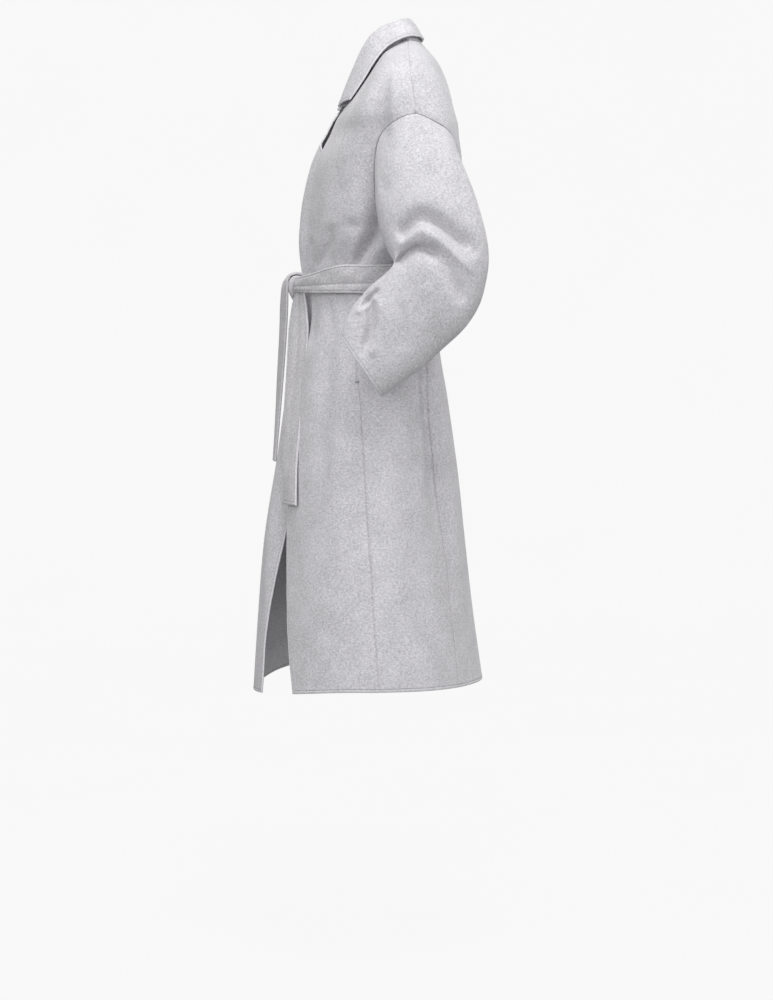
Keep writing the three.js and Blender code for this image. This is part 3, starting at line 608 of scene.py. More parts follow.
def crease_depth(y, z, creases):
    """How deep the creases of a sleeve are at places of its side view."""
    depth = np.zeros(y.shape)
    for deep, width, route in creases:
        above, below = width if isinstance(width, tuple) else (width, width)
        legs = [math.dist(one, two) for one, two in zip(route, route[1:])]
        nearest, along, over = np.full(y.shape, FAR), np.zeros(y.shape), np.zeros(y.shape)
        for leg, ((y0, z0), (y1, z1)) in enumerate(zip(route, route[1:])):
            share = np.clip(((y - y0) * (y1 - y0) + (z - z0) * (z1 - z0)) / legs[leg] ** 2, 0, 1)
            away = np.hypot(y - y0 - share * (y1 - y0), z - z0 - share * (z1 - z0))
            closer = away < nearest
            nearest = np.where(closer, away, nearest)
            along = np.where(closer, sum(legs[:leg]) + share * legs[leg], along)
            over = np.where(closer, (y1 - y0) * (z - z0) - (z1 - z0) * (y - y0), over)
        spread, share = np.where(over > 0, above, below), along / sum(legs)
        ends = smooth_step(-0.04, 0.16, share) * smooth_step(1.04, 0.84, share)
        depth = depth + deep * ends * np.exp(-((nearest / spread) ** 1.7))
    return depth


def faded(stations, fade):
    """A share that rises from nought and falls again over two spans of stations."""
    return (smooth_step(*fade[0], stations) * smooth_step(*fade[1], stations))[:, None]


def sleeve_points(turns, stations, side, creases):
    """Points of a sleeve's outer face, from the armhole to the cuff."""
    place_angle, place = armhole_place(turns, side)
    rings = [body_point(place_angle, place, side < 0) * (side, 1, 1)]
    cosine, sine = np.cos(np.radians(turns)), np.sin(np.radians(turns))
    for front_y, front_z, back_y, back_z, outer, inner, rise in SLEEVE_RINGS:
        rings.append(np.stack([
            (outer + inner) / 2 + sine * (outer - inner) / 2,
            mix(back_y, front_y, (1 + cosine) / 2),
            mix(back_z, front_z, (1 + cosine) / 2) + sine * rise,
        ], -1))
    rings = [2 * rings[0] - rings[1]] + rings
    flat = along_rows(np.array(rings).reshape(len(rings), -1), np.asarray(stations) + 1)
    points = flat.reshape(len(stations), len(turns), 3)
    outer_half = smooth_step(-0.1, 0.6, sine)[None]
    y, z, fade = points[..., 1], points[..., 2], faded(stations, CREASE_FADE)
    depth = fade * crease_depth(y, z, SLEEVE_CREASES)
    depth = depth + faded(stations, FINE_FADE) * crease_depth(y, z, creases)
    inner_folds = (1 - outer_half) * fade * crease_depth(y, z, INNER_CREASES)
    points[..., 0] += inner_folds - outer_half * depth
    points[..., 0] *= side
    return points


def graded(length, first, last, step):
    """Distances from nought to a length, close together at either end as the two lists say."""
    fit = min(1.0, 0.98 * length / (first[-1] + last[-1] + 2))
    head, tail = np.array(first) * fit, length - np.array(last[::-1]) * fit
    return np.concatenate([head, spaced(head[-1], tail[0], step)[1:-1], tail])


def resampled(route, distances):
    """Points at given distances along a fine route."""
    run = run_along(route)
    return np.stack([np.interp(distances, run, route[:, i]) for i in range(route.shape[1])], -1)


def sleeve(side, creases, name):
    turns = -side * np.arange(SLEEVE_TURNS) * 360 / SLEEVE_TURNS
    fine = np.linspace(0, CUFF_STATION, 300)
    line = sleeve_points(np.array([20.0, 90.0, 160.0]), fine, side, ()).mean(1)
    run = run_along(line)
    stations = np.interp(graded(run[-1], SEAM_STEPS, EDGE_STEPS, SLEEVE_STEP), run, fine)
    points = sleeve_points(turns, stations, side, creases)
    return cloth_shell(name, points, {"bottom": "seam", "top": "free"}, wrap=True)


def neckline(rows, columns):
    """The neck seam from the left front's collar end, round the back, to the right one's."""
    places = np.linspace(COLLAR_FOOT, NECK_PLACE, rows)
    left = body_point(edge_angle(LEFT_EDGE, ring_z(places)), places)
    right = body_point(edge_angle(RIGHT_EDGE, ring_z(places)), places, True)
    back = body_point(90 + 180 * np.arange(1, columns) / columns, float(NECK_PLACE))
    return left, back, right


def centripetal(points, share):
    """A smooth curve through points, spaced evenly between them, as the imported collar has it."""
    points = [2 * points[0] - points[1], *points, 2 * points[-1] - points[-2]]
    place = share * (len(points) - 3)
    index = min(int(place), len(points) - 4)
    t = place - index
    a, b, c, d = points[index:index + 4]
    d0, d1, d2 = (np.maximum(np.sqrt(np.linalg.norm(q - p, axis=-1, keepdims=True)), 1e-4)
                  for p, q in ((a, b), (b, c), (c, d)))
    t1 = ((b - a) / d0 - (c - a) / (d0 + d1) + (c - b) / d1) * d1
    t2 = ((c - b) / d1 - (d - b) / (d1 + d2) + (d - c) / d2) * d1
    return hermite(b, c, t1, t2, t)


def hermite(start, end, start_slope, end_slope, t):
    square, cube = t * t, t * t * t
    return (
        (2 * cube - 3 * square + 1) * start + (cube - 2 * square + t) * start_slope
        + (3 * square - 2 * cube) * end + (cube - square) * end_slope
    )


def collar(name):
    """The rolled collar: up the stand from the neck seam, over the fold and down the fall."""
    half_rows, half_back = 60, 30
    left, back, right = neckline(half_rows, 2 * half_back)
    seam = np.concatenate([left, back, right[::-1]])
    middle = len(seam) // 2
    steps = np.abs(np.arange(len(seam)) - middle)
    run = run_along(seam[: middle + 1][::-1])
    share = run[steps] / run[-1]
    side = np.where(np.arange(len(seam)) > middle, -1.0, 1.0)
    twin = seam[middle - steps]
    shift = np.where(side[:, None] > 0, 0, seam - twin * (-1, 1, 1))
    table = by_first_column(COLLAR_SECTIONS, share)
    mirror = np.stack([side, np.ones(len(side)), np.ones(len(side))], -1)
    fold, edge = table[:, :3] * mirror + shift * FOLD_SHIFT, table[:, 3:] * mirror + shift
    rise = mix(seam, fold, 0.6)
    roll = mix(fold, edge, 0.4) + (0, 0, 3)
    lines = np.array([centripetal([seam, rise, fold, roll, edge], t) for t in np.linspace(0, 1, 120)])
    length = np.linalg.norm(np.diff(lines, axis=0), axis=2).sum(0)
    across_steps = graded(length.max(), SEAM_STEPS, EDGE_STEPS, COLLAR_STEP) / length.max()
    grid = np.stack([resampled(lines[:, i], across_steps * length[i]) for i in range(len(seam))], 1)
    around = graded(2 * run[-1], EDGE_STEPS, EDGE_STEPS, COLLAR_STEP)
    grid = np.stack([resampled(row, along_same(row, around)) for row in grid])
    sway = COLLAR_SWAY * np.sin(around / 31)[None] * (across_steps[:, None] ** 2)
    edges = {"left": "free", "right": "free", "top": "free", "bottom": "seam"}
    return cloth_shell(name, grid, edges, lift=sway)


def belt_points(angle, height, out):
    """Points of the belt's ring, moved out from its inner face."""
    sine, cosine = np.sin(np.radians(angle)), np.cos(np.radians(angle))
    signed = (angle + 180) % 360 - 180
    leftward = np.where(signed > 0, smooth_step(0, BELT_SIDE_BLEND, signed), 0)
    foremost = mix(BELT_RING["right"], BELT_RING["left"], leftward)
    middle, half = BELT_RING["middle"], BELT_RING["half"]
    depth = np.where(cosine > 0, middle - foremost, BELT_RING["back"] - middle) + out
    power = np.where(cosine > 0, *BELT_POWERS)
    radius = (np.abs(sine) ** power + np.abs(cosine) ** power) ** (-1 / power)
    gather = smooth_step(BELT_GATHER["start"], BELT_GATHER["end"], np.abs(signed))
    middle_z = mix(BELT_HEIGHT["back"], BELT_HEIGHT["front"], gather)
    z = middle_z + height * mix(1, BELT_GATHER["narrowed"], gather)
    bulge = TIE_BULGE["depth"] * np.exp(-(((signed - TIE_BULGE["angle"]) / TIE_BULGE["spread"]) ** 2))
    bulge = bulge * np.sqrt(np.clip(1 - (height / TIE_BULGE["height"]) ** 2, 0, 1))
    return np.stack([(half + out) * radius * sine, middle - (depth + bulge) * radius * cosine, z], -1)


def belt_band(name):
    """The belt round the waist, gathered into two soft tiers with a crease between them."""
    angle = np.arange(BELT_TURNS) * 360 / BELT_TURNS
    heights = BELT_BOTTOM + graded(BELT_TOP - BELT_BOTTOM, EDGE_STEPS, EDGE_STEPS, BELT_STEP)
    height, angles = np.meshgrid(heights, angle, indexing="ij")
    turn = np.radians(angles)
    crease = -8 + 2.2 * np.sin(2 * turn + 0.4) + 1.2 * np.sin(5 * turn)
    upper = 1 - ((height - (crease + BELT_TOP) / 2) / ((BELT_TOP - crease) / 2 + 1)) ** 2
    lower = 1 - ((height - (crease + BELT_BOTTOM) / 2) / ((crease - BELT_BOTTOM) / 2 + 1)) ** 2
    upper, lower = 2.9 * np.sqrt(np.clip(upper, 0, 1)), 2.6 * np.sqrt(np.clip(lower, 0, 1))
    swell = np.where(height > crease, upper, lower)
    swell = swell - 0.8 * np.exp(-(((height - crease) / 1.5) ** 2))
    pinch = 0.5 * np.sin(11 * turn + height / 9) + 0.4 * np.sin(23 * turn - height / 6)
    swell = swell + pinch * smooth_step(24, 12, np.abs(height))
    wave = 0.8 * np.sin(3 * turn + 1) + 0.5 * np.sin(7 * turn)
    points = belt_points(angles, height + wave, BELT_WALL + swell)
    return cloth_shell(name, points, {"bottom": "free", "top": "free"}, wrap=True, wall=BELT_WALL)


def strand_points(rows, drape, ends):
    """Points of a strip of belt between the edges that its rows give, with its own drape."""
    fine = along_rows(rows, np.linspace(0, len(rows) - 1, 240))[::-1]
    first = np.stack([fine[:, 1], fine[:, 2], fine[:, 0]], -1)
    second = np.stack([fine[:, 3], fine[:, 4], fine[:, 0]], -1)
    if first[:, 0].mean() > second[:, 0].mean():
        first, second = second, first
    centre = (first + second) / 2
    low_steps, high_steps = (EDGE_STEPS if free else SEAM_STEPS for free in ends)
    along = graded(run_along(centre)[-1], low_steps, high_steps, STRAND_STEP)
    first, second = (resampled(line, along_same(line, along)) for line in (first, second))
    width = np.linalg.norm(second - first, axis=1).max()
    share = graded(width, EDGE_STEPS, EDGE_STEPS, STRAND_STEP)[None, :, None] / width
    points = mix(first[:, None], second[:, None], share)
    normals = grid_normals(points, False)
    return points + normals * drape(share[..., 0], (along / along[-1])[:, None])[..., None]


def along_same(line, along):
    """Distances that split a line in the same shares as another line is split."""
    return along / along[-1] * np.linalg.norm(np.diff(line, axis=0), axis=1).sum()


def near_tail_drape(across_share, up):
    roll = 2.4 * np.sin(np.pi * across_share) * (0.4 + 0.6 * up)
    groove = 2.2 * np.exp(-(((across_share - 0.42 - 0.1 * up) / 0.12) ** 2)) * up
    return roll + 1.6 * np.sin(5.3 * up + 2.2 * across_share) - groove


def far_tail_drape(across_share, up):
    return 2 * np.sin(np.pi * across_share) + 1.4 * np.sin(4.4 * up + 1.3 + 1.5 * across_share)


def knot_drape(across_share, up):
    """The belt gathered as it turns over itself: a rounded strand with two soft pleats."""
    crown = 3.2 * np.sin(np.pi * across_share) * (0.5 + 0.5 * np.sin(np.pi * up))
    pleats = 1.5 * np.exp(-(((across_share - 0.36 + 0.08 * up) / 0.07) ** 2))
    pleats = pleats + 1.3 * np.exp(-(((across_share - 0.68 - 0.06 * up) / 0.06) ** 2))
    return crown - pleats


def strand(name, rows, drape, edges, wall):
    points = strand_points(rows, drape, (edges["bottom"] == "free", edges["top"] == "free"))
    return cloth_shell(name, points, edges, wall=wall)


def tack_object(name, points, out):
    """A bar tack: close satin stitches across the low end of a pocket."""
    vertices, faces = [], []
    (a, b), normal = points, out / np.linalg.norm(out)
    way = (b - a) / np.linalg.norm(b - a)
    cross = np.cross(normal, way)
    sides = TACK_SIDES
    for i in range(TACK_STITCHES):
        centre = mix(a, b, (i + 0.5) / TACK_STITCHES)
        start = len(vertices)
        for end in (-1, -0.6, 0.6, 1):
            swell = TACK_TIP if abs(end) == 1 else TACK_RADIUS
            for s in range(sides):
                turn = 2 * math.pi * s / sides
                ring = way * math.cos(turn) * swell + normal * (math.sin(turn) * swell + 0.5)
                vertices.append((centre + cross * end * TACK_REACH + ring) * MM)
        for band in range(3):
            for s in range(sides):
                t = (s + 1) % sides
                low, high = start + band * sides, start + (band + 1) * sides
                faces.append((low + s, low + t, high + t, high + s))
        faces.append(tuple(range(start, start + sides))[::-1])
        faces.append(tuple(range(start + 3 * sides, start + 4 * sides)))
    mesh = bpy.data.meshes.new(name)
    mesh.from_pydata([tuple(v) for v in vertices], [], faces)
    mesh.update()
    return placed(name, mesh)


def pocket_tack(side, name):
    place = place_at_height(TACK_Z)
    seam = side * edge_angle(FRONT_SIDE_SEAM, np.array(TACK_Z))
    ends = seam + side * np.array([-TACK_HALF_WIDTH, TACK_HALF_WIDTH, 0.0])
    spots = body_point(ends, np.full(3, place), side < 0)
    out = np.array([spots[2][0], spots[2][1] - BELT_RING["middle"], 0.0])
    return tack_object(name, (spots[0], spots[1]), out)


def group_nodes(name, inputs, outputs):
    """A new shader group with its named sockets, and its input and output nodes."""
    group = bpy.data.node_groups.new(name, "ShaderNodeTree")
    for socket, kind, value in inputs:
        made = group.interface.new_socket(name=socket, in_out="INPUT", socket_type=kind)
        if value is not None:
            made.default_value = value
    for socket, kind in outputs:
        group.interface.new_socket(name=socket, in_out="OUTPUT", socket_type=kind)
    return group, group.nodes.new("NodeGroupInput"), group.nodes.new("NodeGroupOutput")


def feed(tree, node, inputs):
    """Gives each named input its value, or links it to the output that feeds it."""
    for name, value in inputs.items():
        if isinstance(value, bpy.types.NodeSocket):
            tree.links.new(value, node.inputs[name])
        else:
            node.inputs[name].default_value = value
    return node


def maths(tree, operation, first, second, clamp=False):
    node = tree.nodes.new("ShaderNodeMath")
    node.operation, node.use_clamp = operation, clamp
    return feed(tree, node, {0: first, 1: second}).outputs[0]


def weighted(tree, first, first_share, second, second_share):
    """The sum of two values, each times its share."""
    parts = (maths(tree, "MULTIPLY", first, first_share), maths(tree, "MULTIPLY", second, second_share))
    return maths(tree, "ADD", *parts)


def noise(tree, place, scale, detail, roughness=0.5, stretch=None):
    if stretch is not None:
        mapping = tree.nodes.new("ShaderNodeMapping")
        place = feed(tree, mapping, {"Scale": stretch, "Vector": place}).outputs[0]
    node = tree.nodes.new("ShaderNodeTexNoise")
    feed(tree, node, {"Scale": scale, "Detail": detail, "Roughness": roughness, "Vector": place})
    return node.outputs[0]


def between(tree, value, low, high, out_low=0.0, out_high=1.0):
    """A value moved from one span to another, and held inside it."""
    node = tree.nodes.new("ShaderNodeMapRange")
    spans = {"From Min": low, "From Max": high, "To Min": out_low, "To Max": out_high}
    return feed(tree, node, {**spans, "Value": value}).outputs[0]


def blend_colours(tree, factor, first, second):
    node = tree.nodes.new("ShaderNodeMix")
    node.data_type = "RGBA"
    return feed(tree, node, {"Factor": factor, "A": first, "B": second}).outputs["Result"]


def new_material(name):
    """A new material, its node tree and its shader."""
    material = bpy.data.materials.new(name)
    material.use_nodes = True
    return material, material.node_tree, material.node_tree.nodes["Principled BSDF"]


def raise_surface(tree, shader, height, strength, distance):
    """Lets a height lift the shader's surface."""
    bump = tree.nodes.new("ShaderNodeBump")
    feed(tree, bump, {"Strength": strength, "Distance": distance, "Height": height})
    tree.links.new(bump.outputs[0], shader.inputs["Normal"])


def napped_wool_group():
    """Melange wool with a brushed nap: its fibres' colours, cloudy shading and their height."""
    group, given, made = group_nodes(
        "Napped wool",
        [("Dark", "NodeSocketColor", (0.3, 0.3, 0.3, 1)),
         ("Light", "NodeSocketColor", (0.6, 0.6, 0.6, 1)),
         ("Melange", "NodeSocketFloat", 1.0), ("Cloud", "NodeSocketFloat", 1.0)],
        [("Colour", "NodeSocketColor"), ("Height", "NodeSocketFloat"), ("Roughness", "NodeSocketFloat")],
    )
    spot = group.nodes.new("ShaderNodeTexCoord")
    along = group.nodes.new("ShaderNodeUVMap")
    along.uv_map = "cloth"
    fibres = noise(group, along.outputs[0], 420, 4, 0.7, (0.5, 1.0, 1.0))
    flecks = noise(group, spot.outputs["Object"], 300, 3, 0.7)
    tufts = noise(group, spot.outputs["Object"], 120, 3, 0.6)
    clouds = noise(group, spot.outputs["Object"], 22, 3, 0.55)
    grain = weighted(group, fibres, 0.55, flecks, 0.45)
    grain = maths(group, "MULTIPLY", maths(group, "SUBTRACT", grain, 0.5), given.outputs["Melange"])
    cloud = weighted(group, clouds, 0.6, tufts, 0.4)
    cloud = maths(group, "MULTIPLY", maths(group, "SUBTRACT", cloud, 0.5), given.outputs["Cloud"])
    share = maths(group, "ADD", maths(group, "ADD", grain, cloud), 0.5, clamp=True)
    colour = blend_colours(group, share, given.outputs["Dark"], given.outputs["Light"])
    height = weighted(group, fibres, 0.6, tufts, 0.8)
    roughness = between(group, flecks, 0.3, 0.7, 0.86, 1.0)
    feed(group, made, {"Colour": colour, "Height": height, "Roughness": roughness})
    return group


def edge_stitch_group():
    """The row of small stitches inside a turned edge, and a painted highlight along the edge itself,
    strongest at the edge.
    """
    group, given, made = group_nodes(
        "Edge stitches",
        [("Inset", "NodeSocketFloat", 0.005), ("Length", "NodeSocketFloat", 0.0035)],
        [("Stitch", "NodeSocketFloat"), ("Painted highlight", "NodeSocketFloat")],
    )
    edge = group.nodes.new("ShaderNodeUVMap")
    edge.uv_map = "edge"
    parts = group.nodes.new("ShaderNodeSeparateXYZ")
    group.links.new(edge.outputs[0], parts.inputs[0])
    away = maths(group, "ABSOLUTE", maths(group, "SUBTRACT", parts.outputs[0], given.outputs["Inset"]), 0)
    line = between(group, away, 0.0009, 0.0003)
    phase = maths(group, "FRACT", maths(group, "DIVIDE", parts.outputs[1], given.outputs["Length"]), 0)
    dash = between(group, maths(group, "ABSOLUTE", maths(group, "SUBTRACT", phase, 0.5), 0), 0.44, 0.36)
    group.links.new(maths(group, "MULTIPLY", line, dash), made.inputs["Stitch"])
    # The painted highlight: full at the very edge and gone 3.2 mm in, where light would catch the rounded
    # rim.
    group.links.new(between(group, parts.outputs[0], 0.0032, 0.0002), made.inputs["Painted highlight"])
    return group


def placed_group(tree, group, values):
    node = tree.nodes.new("ShaderNodeGroup")
    node.node_tree = group
    return feed(tree, node, values)


def shared_group(name, maker):
    return bpy.data.node_groups.get(name) or maker()


def tinted(colour, factor):
    return tuple(min(1.0, channel * factor) for channel in colour[:3]) + (1.0,)


def wool_material(name, colour):
    """Soft napped wool for one colour of cloth, with its edge stitching and a painted highlight along its
    turned edges.
    """
    finish = bpy.context.scene.coat_finish
    material, tree, shader = new_material(name)
    wool = placed_group(tree, shared_group("Napped wool", napped_wool_group), {
        "Dark": tinted(colour, 1 - finish.melange), "Light": tinted(colour, 1 + finish.melange),
        "Melange": 3.6, "Cloud": 1.0,
    })
    stitches = placed_group(tree, shared_group("Edge stitches", edge_stitch_group), {
        "Inset": sewing().stitch_inset, "Length": sewing().stitch_length,
    })
    # Painted highlight: the turned edges are blended towards a paler grey, standing in for light caught on
    # their rounded rims.
    painted_highlight = maths(tree, "MULTIPLY", stitches.outputs["Painted highlight"], finish.painted_edge_highlight)
    shade = blend_colours(tree, painted_highlight, wool.outputs["Colour"], tinted(colour, 1.45))
    sewn = maths(tree, "MULTIPLY", stitches.outputs["Stitch"], 0.45)
    shade = blend_colours(tree, sewn, shade, tinted(colour, 0.55))
    sunk = maths(tree, "MULTIPLY", stitches.outputs["Stitch"], 0.7)
    raise_surface(
        tree, shader, maths(tree, "SUBTRACT", wool.outputs["Height"], sunk), finish.nap, 0.0012)
    feed(tree, shader, {
        "Base Color": shade, "Roughness": wool.outputs["Roughness"], "Specular IOR Level": 0.12,
        "Sheen Weight": 0.32, "Sheen Roughness": 0.55, "Sheen Tint": (1.0, 0.99, 0.985, 1.0),
    })
    return material


def thread_material(name, colour):
    """Matte sewing thread: fine twisted streaks in the cloth's own grey."""
    material, tree, shader = new_material(name)
    spot = tree.nodes.new("ShaderNodeTexCoord")
    twist = noise(tree, spot.outputs["Object"], 2600, 2, 0.6, (1.0, 1.0, 0.3))
    shade = blend_colours(tree, twist, tinted(colour, 0.7), tinted(colour, 1.15))
    raise_surface(tree, shader, twist, 0.4, 0.0002)
    feed(tree, shader, {"Base Color": shade, "Roughness": 0.7, "Sheen Weight": 0.1})
    return material


def coat_material(kind):
    finish = bpy.context.scene.coat_finish
    name, maker, colour = {
        "wool": ("Coat wool", wool_material, finish.wool_colour),
        "belt_wool": ("Belt wool", wool_material, finish.belt_colour),
        "thread": ("Sewing thread", thread_material, finish.thread_colour),
    }[kind]
    return bpy.data.materials.get(name) or maker(name, tuple(colour))


def finished(piece, kind, node=None):
    """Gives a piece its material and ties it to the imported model."""
    piece.data.materials.append(coat_material(kind))
    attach(piece, ROOT)
    if node:
        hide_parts(node)
    return piece


class CoatSewing(bpy.types.PropertyGroup):
    """Sizes of the coat's edges, seams and stitches."""
    edge_roll: bpy.props.FloatProperty(
        name="Edge roll", description="Distance over which a turned edge rounds",
        default=0.0016, unit="LENGTH")
    edge_puff: bpy.props.FloatProperty(
        name="Edge puff", description="How far the cloth swells beside an edge",
        default=0.0004, unit="LENGTH")
    stitch_inset: bpy.props.FloatProperty(
        name="Stitch inset", description="Distance from an edge to its stitching",
        default=0.005, unit="LENGTH")
    stitch_depth: bpy.props.FloatProperty(
        name="Stitch depth", description="How far the stitching sinks into the cloth",
        default=0.0006, unit="LENGTH")
    stitch_length: bpy.props.FloatProperty(
        name="Stitch length", description="Length of one stitch and its space", default=0.0035, unit="LENGTH")
    seam_dip: bpy.props.FloatProperty(
        name="Seam dip", description="How far a seam sinks between its panels", default=0.0006, unit="LENGTH")


class CoatFinish(bpy.types.PropertyGroup):
    """Colours and finish of the wool, and the strength of the painted highlight on its edges."""
    wool_colour: bpy.props.FloatVectorProperty(
        name="Wool", description="Middle grey of the coat's wool", size=3, subtype="COLOR",
        default=(0.57, 0.56, 0.585), min=0, max=1)
    belt_colour: bpy.props.FloatVectorProperty(
        name="Belt wool", description="Middle grey of the belt's wool", size=3, subtype="COLOR",
        default=(0.53, 0.52, 0.54), min=0, max=1)
    thread_colour: bpy.props.FloatVectorProperty(
        name="Thread", description="Colour of the sewing thread", size=3, subtype="COLOR",
        default=(0.3, 0.295, 0.305), min=0, max=1)
    melange: bpy.props.FloatProperty(
        name="Melange", description="Contrast between the wool's dark and light fibres", default=0.3,
        min=0, max=1, subtype="FACTOR")
    nap: bpy.props.FloatProperty(
        name="Nap", description="Strength of the brushed surface",
        default=0.6, min=0, max=1, subtype="FACTOR")
    # Strength of the painted highlight along the turned edges.
    painted_edge_highlight: bpy.props.FloatProperty(
        name="Painted edge highlight", description="How pale the turned edges are",
        default=0.5, min=0, max=1, subtype="FACTOR")


class CoatStudio(bpy.types.PropertyGroup):
    """The camera, the floor and the studio's light."""
    camera_distance: bpy.props.FloatProperty(
        name="Camera distance", description="From the coat's middle to the camera",
        default=4.8, unit="LENGTH")
    camera_height: bpy.props.FloatProperty(
        name="Camera height", description="Height of the camera in the coat's frame",
        default=-0.396, unit="LENGTH")
    camera_tilt: bpy.props.FloatProperty(
        name="Camera tilt", description="How far the camera looks down",
        default=math.radians(4.51), subtype="ANGLE")
    lens: bpy.props.FloatProperty(
        name="Lens", description="Focal length of the camera", default=100.4, min=1, unit="CAMERA")
    floor_drop: bpy.props.FloatProperty(
        name="Floor drop", description="From the shoulders to the floor", default=1.545, unit="LENGTH")
    sky_strength: bpy.props.FloatProperty(
        name="Sky strength", description="Strength of the light from all round", default=1.16, min=0)
    key_power: bpy.props.FloatProperty(
        name="Key light", description="Power of the light above the coat's left side", default=40,
        min=0, unit="POWER")
    fill_power: bpy.props.FloatProperty(
        name="Fill light", description="Power of the light before the coat's left side", default=26,
        min=0, unit="POWER")


class COAT_OT_back(bpy.types.Operator):
    """Makes the back panel."""
    bl_idname = "coat.back"
    bl_label = "Back panel"

    def execute(self, context):
        finished(back_panel("back_cloth"), "wool", "back")
        return {"FINISHED"}


class COAT_OT_sides(bpy.types.Operator):
    """Makes the two side panels under the arms."""
    bl_idname = "coat.sides"
    bl_label = "Side panels"

    def execute(self, context):
        for side, node in SIDES:
            finished(side_panel(side, f"{node}_side_cloth"), "wool", f"{node}_side")
        return {"FINISHED"}


class COAT_OT_fronts(bpy.types.Operator):
    """Makes the two fronts, the left one lapped over the right one."""
    bl_idname = "coat.fronts"
    bl_label = "Fronts"

    def execute(self, context):
        for side, node in SIDES:
            finished(front_panel(side, f"{node}_front_cloth"), "wool", f"{node}_front")
        return {"FINISHED"}


class COAT_OT_sleeves(bpy.types.Operator):
    """Makes the sleeves with their elbow creases and open cuffs."""
    bl_idname = "coat.sleeves"
    bl_label = "Sleeves"

    def execute(self, context):
        for (side, node), creases in zip(SIDES, (LEFT_CREASES, RIGHT_CREASES)):
            finished(sleeve(side, creases, f"{node}_sleeve_cloth"), "wool", f"{node}_sleeve")
        return {"FINISHED"}


class COAT_OT_collar(bpy.types.Operator):
    """Makes the rolled collar."""
    bl_idname = "coat.collar"
    bl_label = "Collar"

    def execute(self, context):
        finished(collar("collar_cloth"), "wool", "collar")
        return {"FINISHED"}


class COAT_OT_pockets(bpy.types.Operator):
    """Makes the bar tacks at the low ends of the pocket openings."""
    bl_idname = "coat.pockets"
    bl_label = "Pocket bar tacks"

    def execute(self, context):
        for side, node in SIDES:
            finished(pocket_tack(side, f"{node}_pocket_tack"), "thread")
        return {"FINISHED"}


class COAT_OT_belt(bpy.types.Operator):
    """Makes the belt: its band, the tie and the two hanging ends."""
    bl_idname = "coat.belt"
    bl_label = "Belt"

    def execute(self, context):
        loose = {"left": "free", "right": "free", "bottom": "free", "top": "seam"}
        tie = {"left": "free", "right": "free", "bottom": "seam", "top": "seam"}
        strands = (
            ("belt_knot", KNOT_ROWS, knot_drape, tie, KNOT_WALL),
            ("belt_tail_left", LEFT_TAIL_ROWS, near_tail_drape, loose, BELT_WALL),
            ("belt_tail_right", RIGHT_TAIL_ROWS, far_tail_drape, loose, BELT_WALL),
        )
        finished(belt_band("belt_band_cloth"), "belt_wool", "belt_band")
        for node, *made_from in strands:
            finished(strand(f"{node}_cloth", *made_from), "belt_wool", node)
        return {"FINISHED"}


def studio_material(name):
    """Seamless paper that glows evenly, with a faint grain of its own."""
    material, tree, shader = new_material(name)
    spot = tree.nodes.new("ShaderNodeTexCoord")
    grain = noise(tree, spot.outputs["Object"], 3, 2)
    pale = blend_colours(tree, grain, (0.02, 0.02, 0.02, 1), (0.03, 0.03, 0.03, 1))
    feed(tree, shader, {
        "Base Color": pale, "Roughness": 1.0, "Specular IOR Level": 0.0,
        "Emission Color": (1, 1, 1, 1), "Emission Strength": STAGE_GLOW,
    })
    return material


def studio_cove(drop):
    """A floor that curves up into a wall all round, far outside the coat."""
    radius, bend, height, turns = 5.2, 1.6, 5.0, 96
    profile = [(0.0, 0.0), (2.0, 0.0), (radius - bend, 0.0)]
    profile += [
        (radius - bend + bend * math.sin(a), bend - bend * math.cos(a))
        for a in (math.pi / 2 * i / 14 for i in range(1, 15))
    ]
    profile.append((radius, height))
    vertices, faces = [], []
    for reach, rise in profile:
        for t in range(turns):
            turn = 2 * math.pi * t / turns
            vertices.append((reach * math.cos(turn), reach * math.sin(turn), rise - drop))
    for r in range(len(profile) - 1):
        for t in range(turns):
            n = (t + 1) % turns
            faces.append((r * turns + t, r * turns + n, (r + 1) * turns + n, (r + 1) * turns + t))
    mesh = bpy.data.meshes.new("studio_cove")
    mesh.from_pydata(vertices, [], faces)
    mesh.polygons.foreach_set("use_smooth", [True] * len(mesh.polygons))
    mesh.materials.append(studio_material("Studio paper"))
    return placed("studio_cove", mesh)


def studio_sky(world, strength):
    """Light from all round, strongest from above and from the coat's left and back."""
    world.use_nodes = True
    tree = world.node_tree
    shade = tree.nodes["Background"]
    spot = tree.nodes.new("ShaderNodeTexCoord")
    toward = tree.nodes.new("ShaderNodeVectorMath")
    toward.operation = "DOT_PRODUCT"
    toward.inputs[1].default_value = Vector(SKY_FROM).normalized()
    tree.links.new(spot.outputs["Generated"], toward.inputs[0])
    light = between(tree, toward.outputs["Value"], -0.5, 1.0, 0.05 * strength, strength)
    feed(tree, shade, {"Strength": light, "Color": (1, 1, 1, 1)})


def soft_light(name, place, aim, size, power):
    data = bpy.data.lights.new(name, "AREA")
    data.shape, data.size, data.energy = "DISK", size, power
    lamp = placed(name, data)
    lamp.location = place
    lamp.rotation_euler = (Vector(aim) - Vector(place)).to_track_quat("-Z", "Y").to_euler()


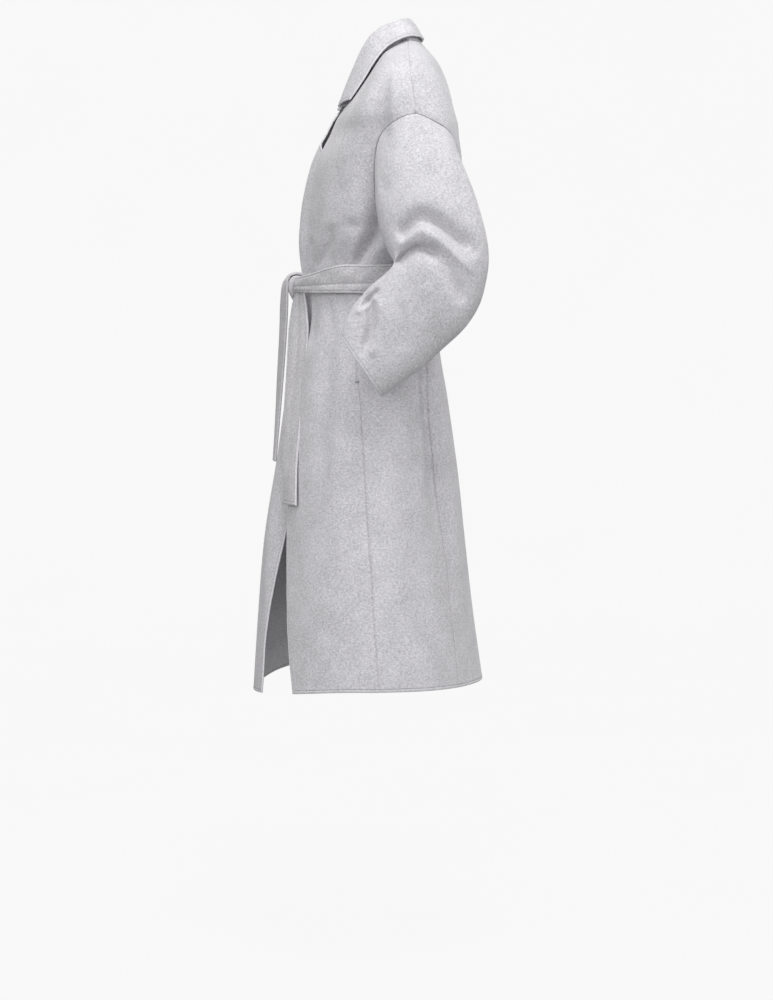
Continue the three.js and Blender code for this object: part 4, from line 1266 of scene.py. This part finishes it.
class COAT_OT_stage(bpy.types.Operator):
    """Makes the pale studio, its soft lights and the camera."""
    bl_idname = "coat.stage"
    bl_label = "Studio"

    def execute(self, context):
        studio = context.scene.coat_studio
        context.scene.view_settings.view_transform = "Standard"
        cove = studio_cove(studio.floor_drop)
        cove.visible_diffuse = False
        soft_light("key_light", *KEY_LIGHT, studio.key_power)
        soft_light("fill_light", *FILL_LIGHT, studio.fill_power)
        world = context.scene.world or bpy.data.worlds.new("Studio")
        context.scene.world = world
        studio_sky(world, studio.sky_strength)
        data = bpy.data.cameras.new("camera")
        data.lens, data.sensor_width, data.clip_end = studio.lens, 36.0, 60.0
        camera = placed("camera", data)
        camera.location = (studio.camera_distance, CAMERA_Y, studio.camera_height)
        camera.rotation_euler = (math.pi / 2 - studio.camera_tilt, 0, math.pi / 2)
        context.scene.camera = camera
        return {"FINISHED"}


class COAT_PT_panel(bpy.types.Panel):
    """Lists the coat's pieces and sizes."""
    bl_idname = "COAT_PT_panel"
    bl_label = "Wool coat"
    bl_space_type = "VIEW_3D"
    bl_region_type = "UI"
    bl_category = "Coat"

    def draw(self, context):
        for operator in STEPS:
            self.layout.operator(operator.bl_idname)
        for settings in (context.scene.coat_sewing, context.scene.coat_finish, context.scene.coat_studio):
            for name in settings.__annotations__:
                self.layout.prop(settings, name)


SETTINGS = (CoatSewing, CoatFinish, CoatStudio)
STEPS = (
    COAT_OT_back, COAT_OT_sides, COAT_OT_fronts, COAT_OT_sleeves, COAT_OT_collar, COAT_OT_pockets,
    COAT_OT_belt, COAT_OT_stage,
)


def register():
    for part in SETTINGS + STEPS + (COAT_PT_panel,):
        bpy.utils.register_class(part)
    bpy.types.Scene.coat_sewing = bpy.props.PointerProperty(type=CoatSewing)
    bpy.types.Scene.coat_finish = bpy.props.PointerProperty(type=CoatFinish)
    bpy.types.Scene.coat_studio = bpy.props.PointerProperty(type=CoatStudio)


def unregister():
    for name in ("coat_studio", "coat_finish", "coat_sewing"):
        delattr(bpy.types.Scene, name)
    for part in reversed(SETTINGS + STEPS + (COAT_PT_panel,)):
        bpy.utils.unregister_class(part)


def main():
    register()
    for step in (
        bpy.ops.coat.back, bpy.ops.coat.sides, bpy.ops.coat.fronts, bpy.ops.coat.sleeves, bpy.ops.coat.collar,
        bpy.ops.coat.pockets, bpy.ops.coat.belt, bpy.ops.coat.stage,
    ):
        step()


if __name__ == "__main__":
    main()
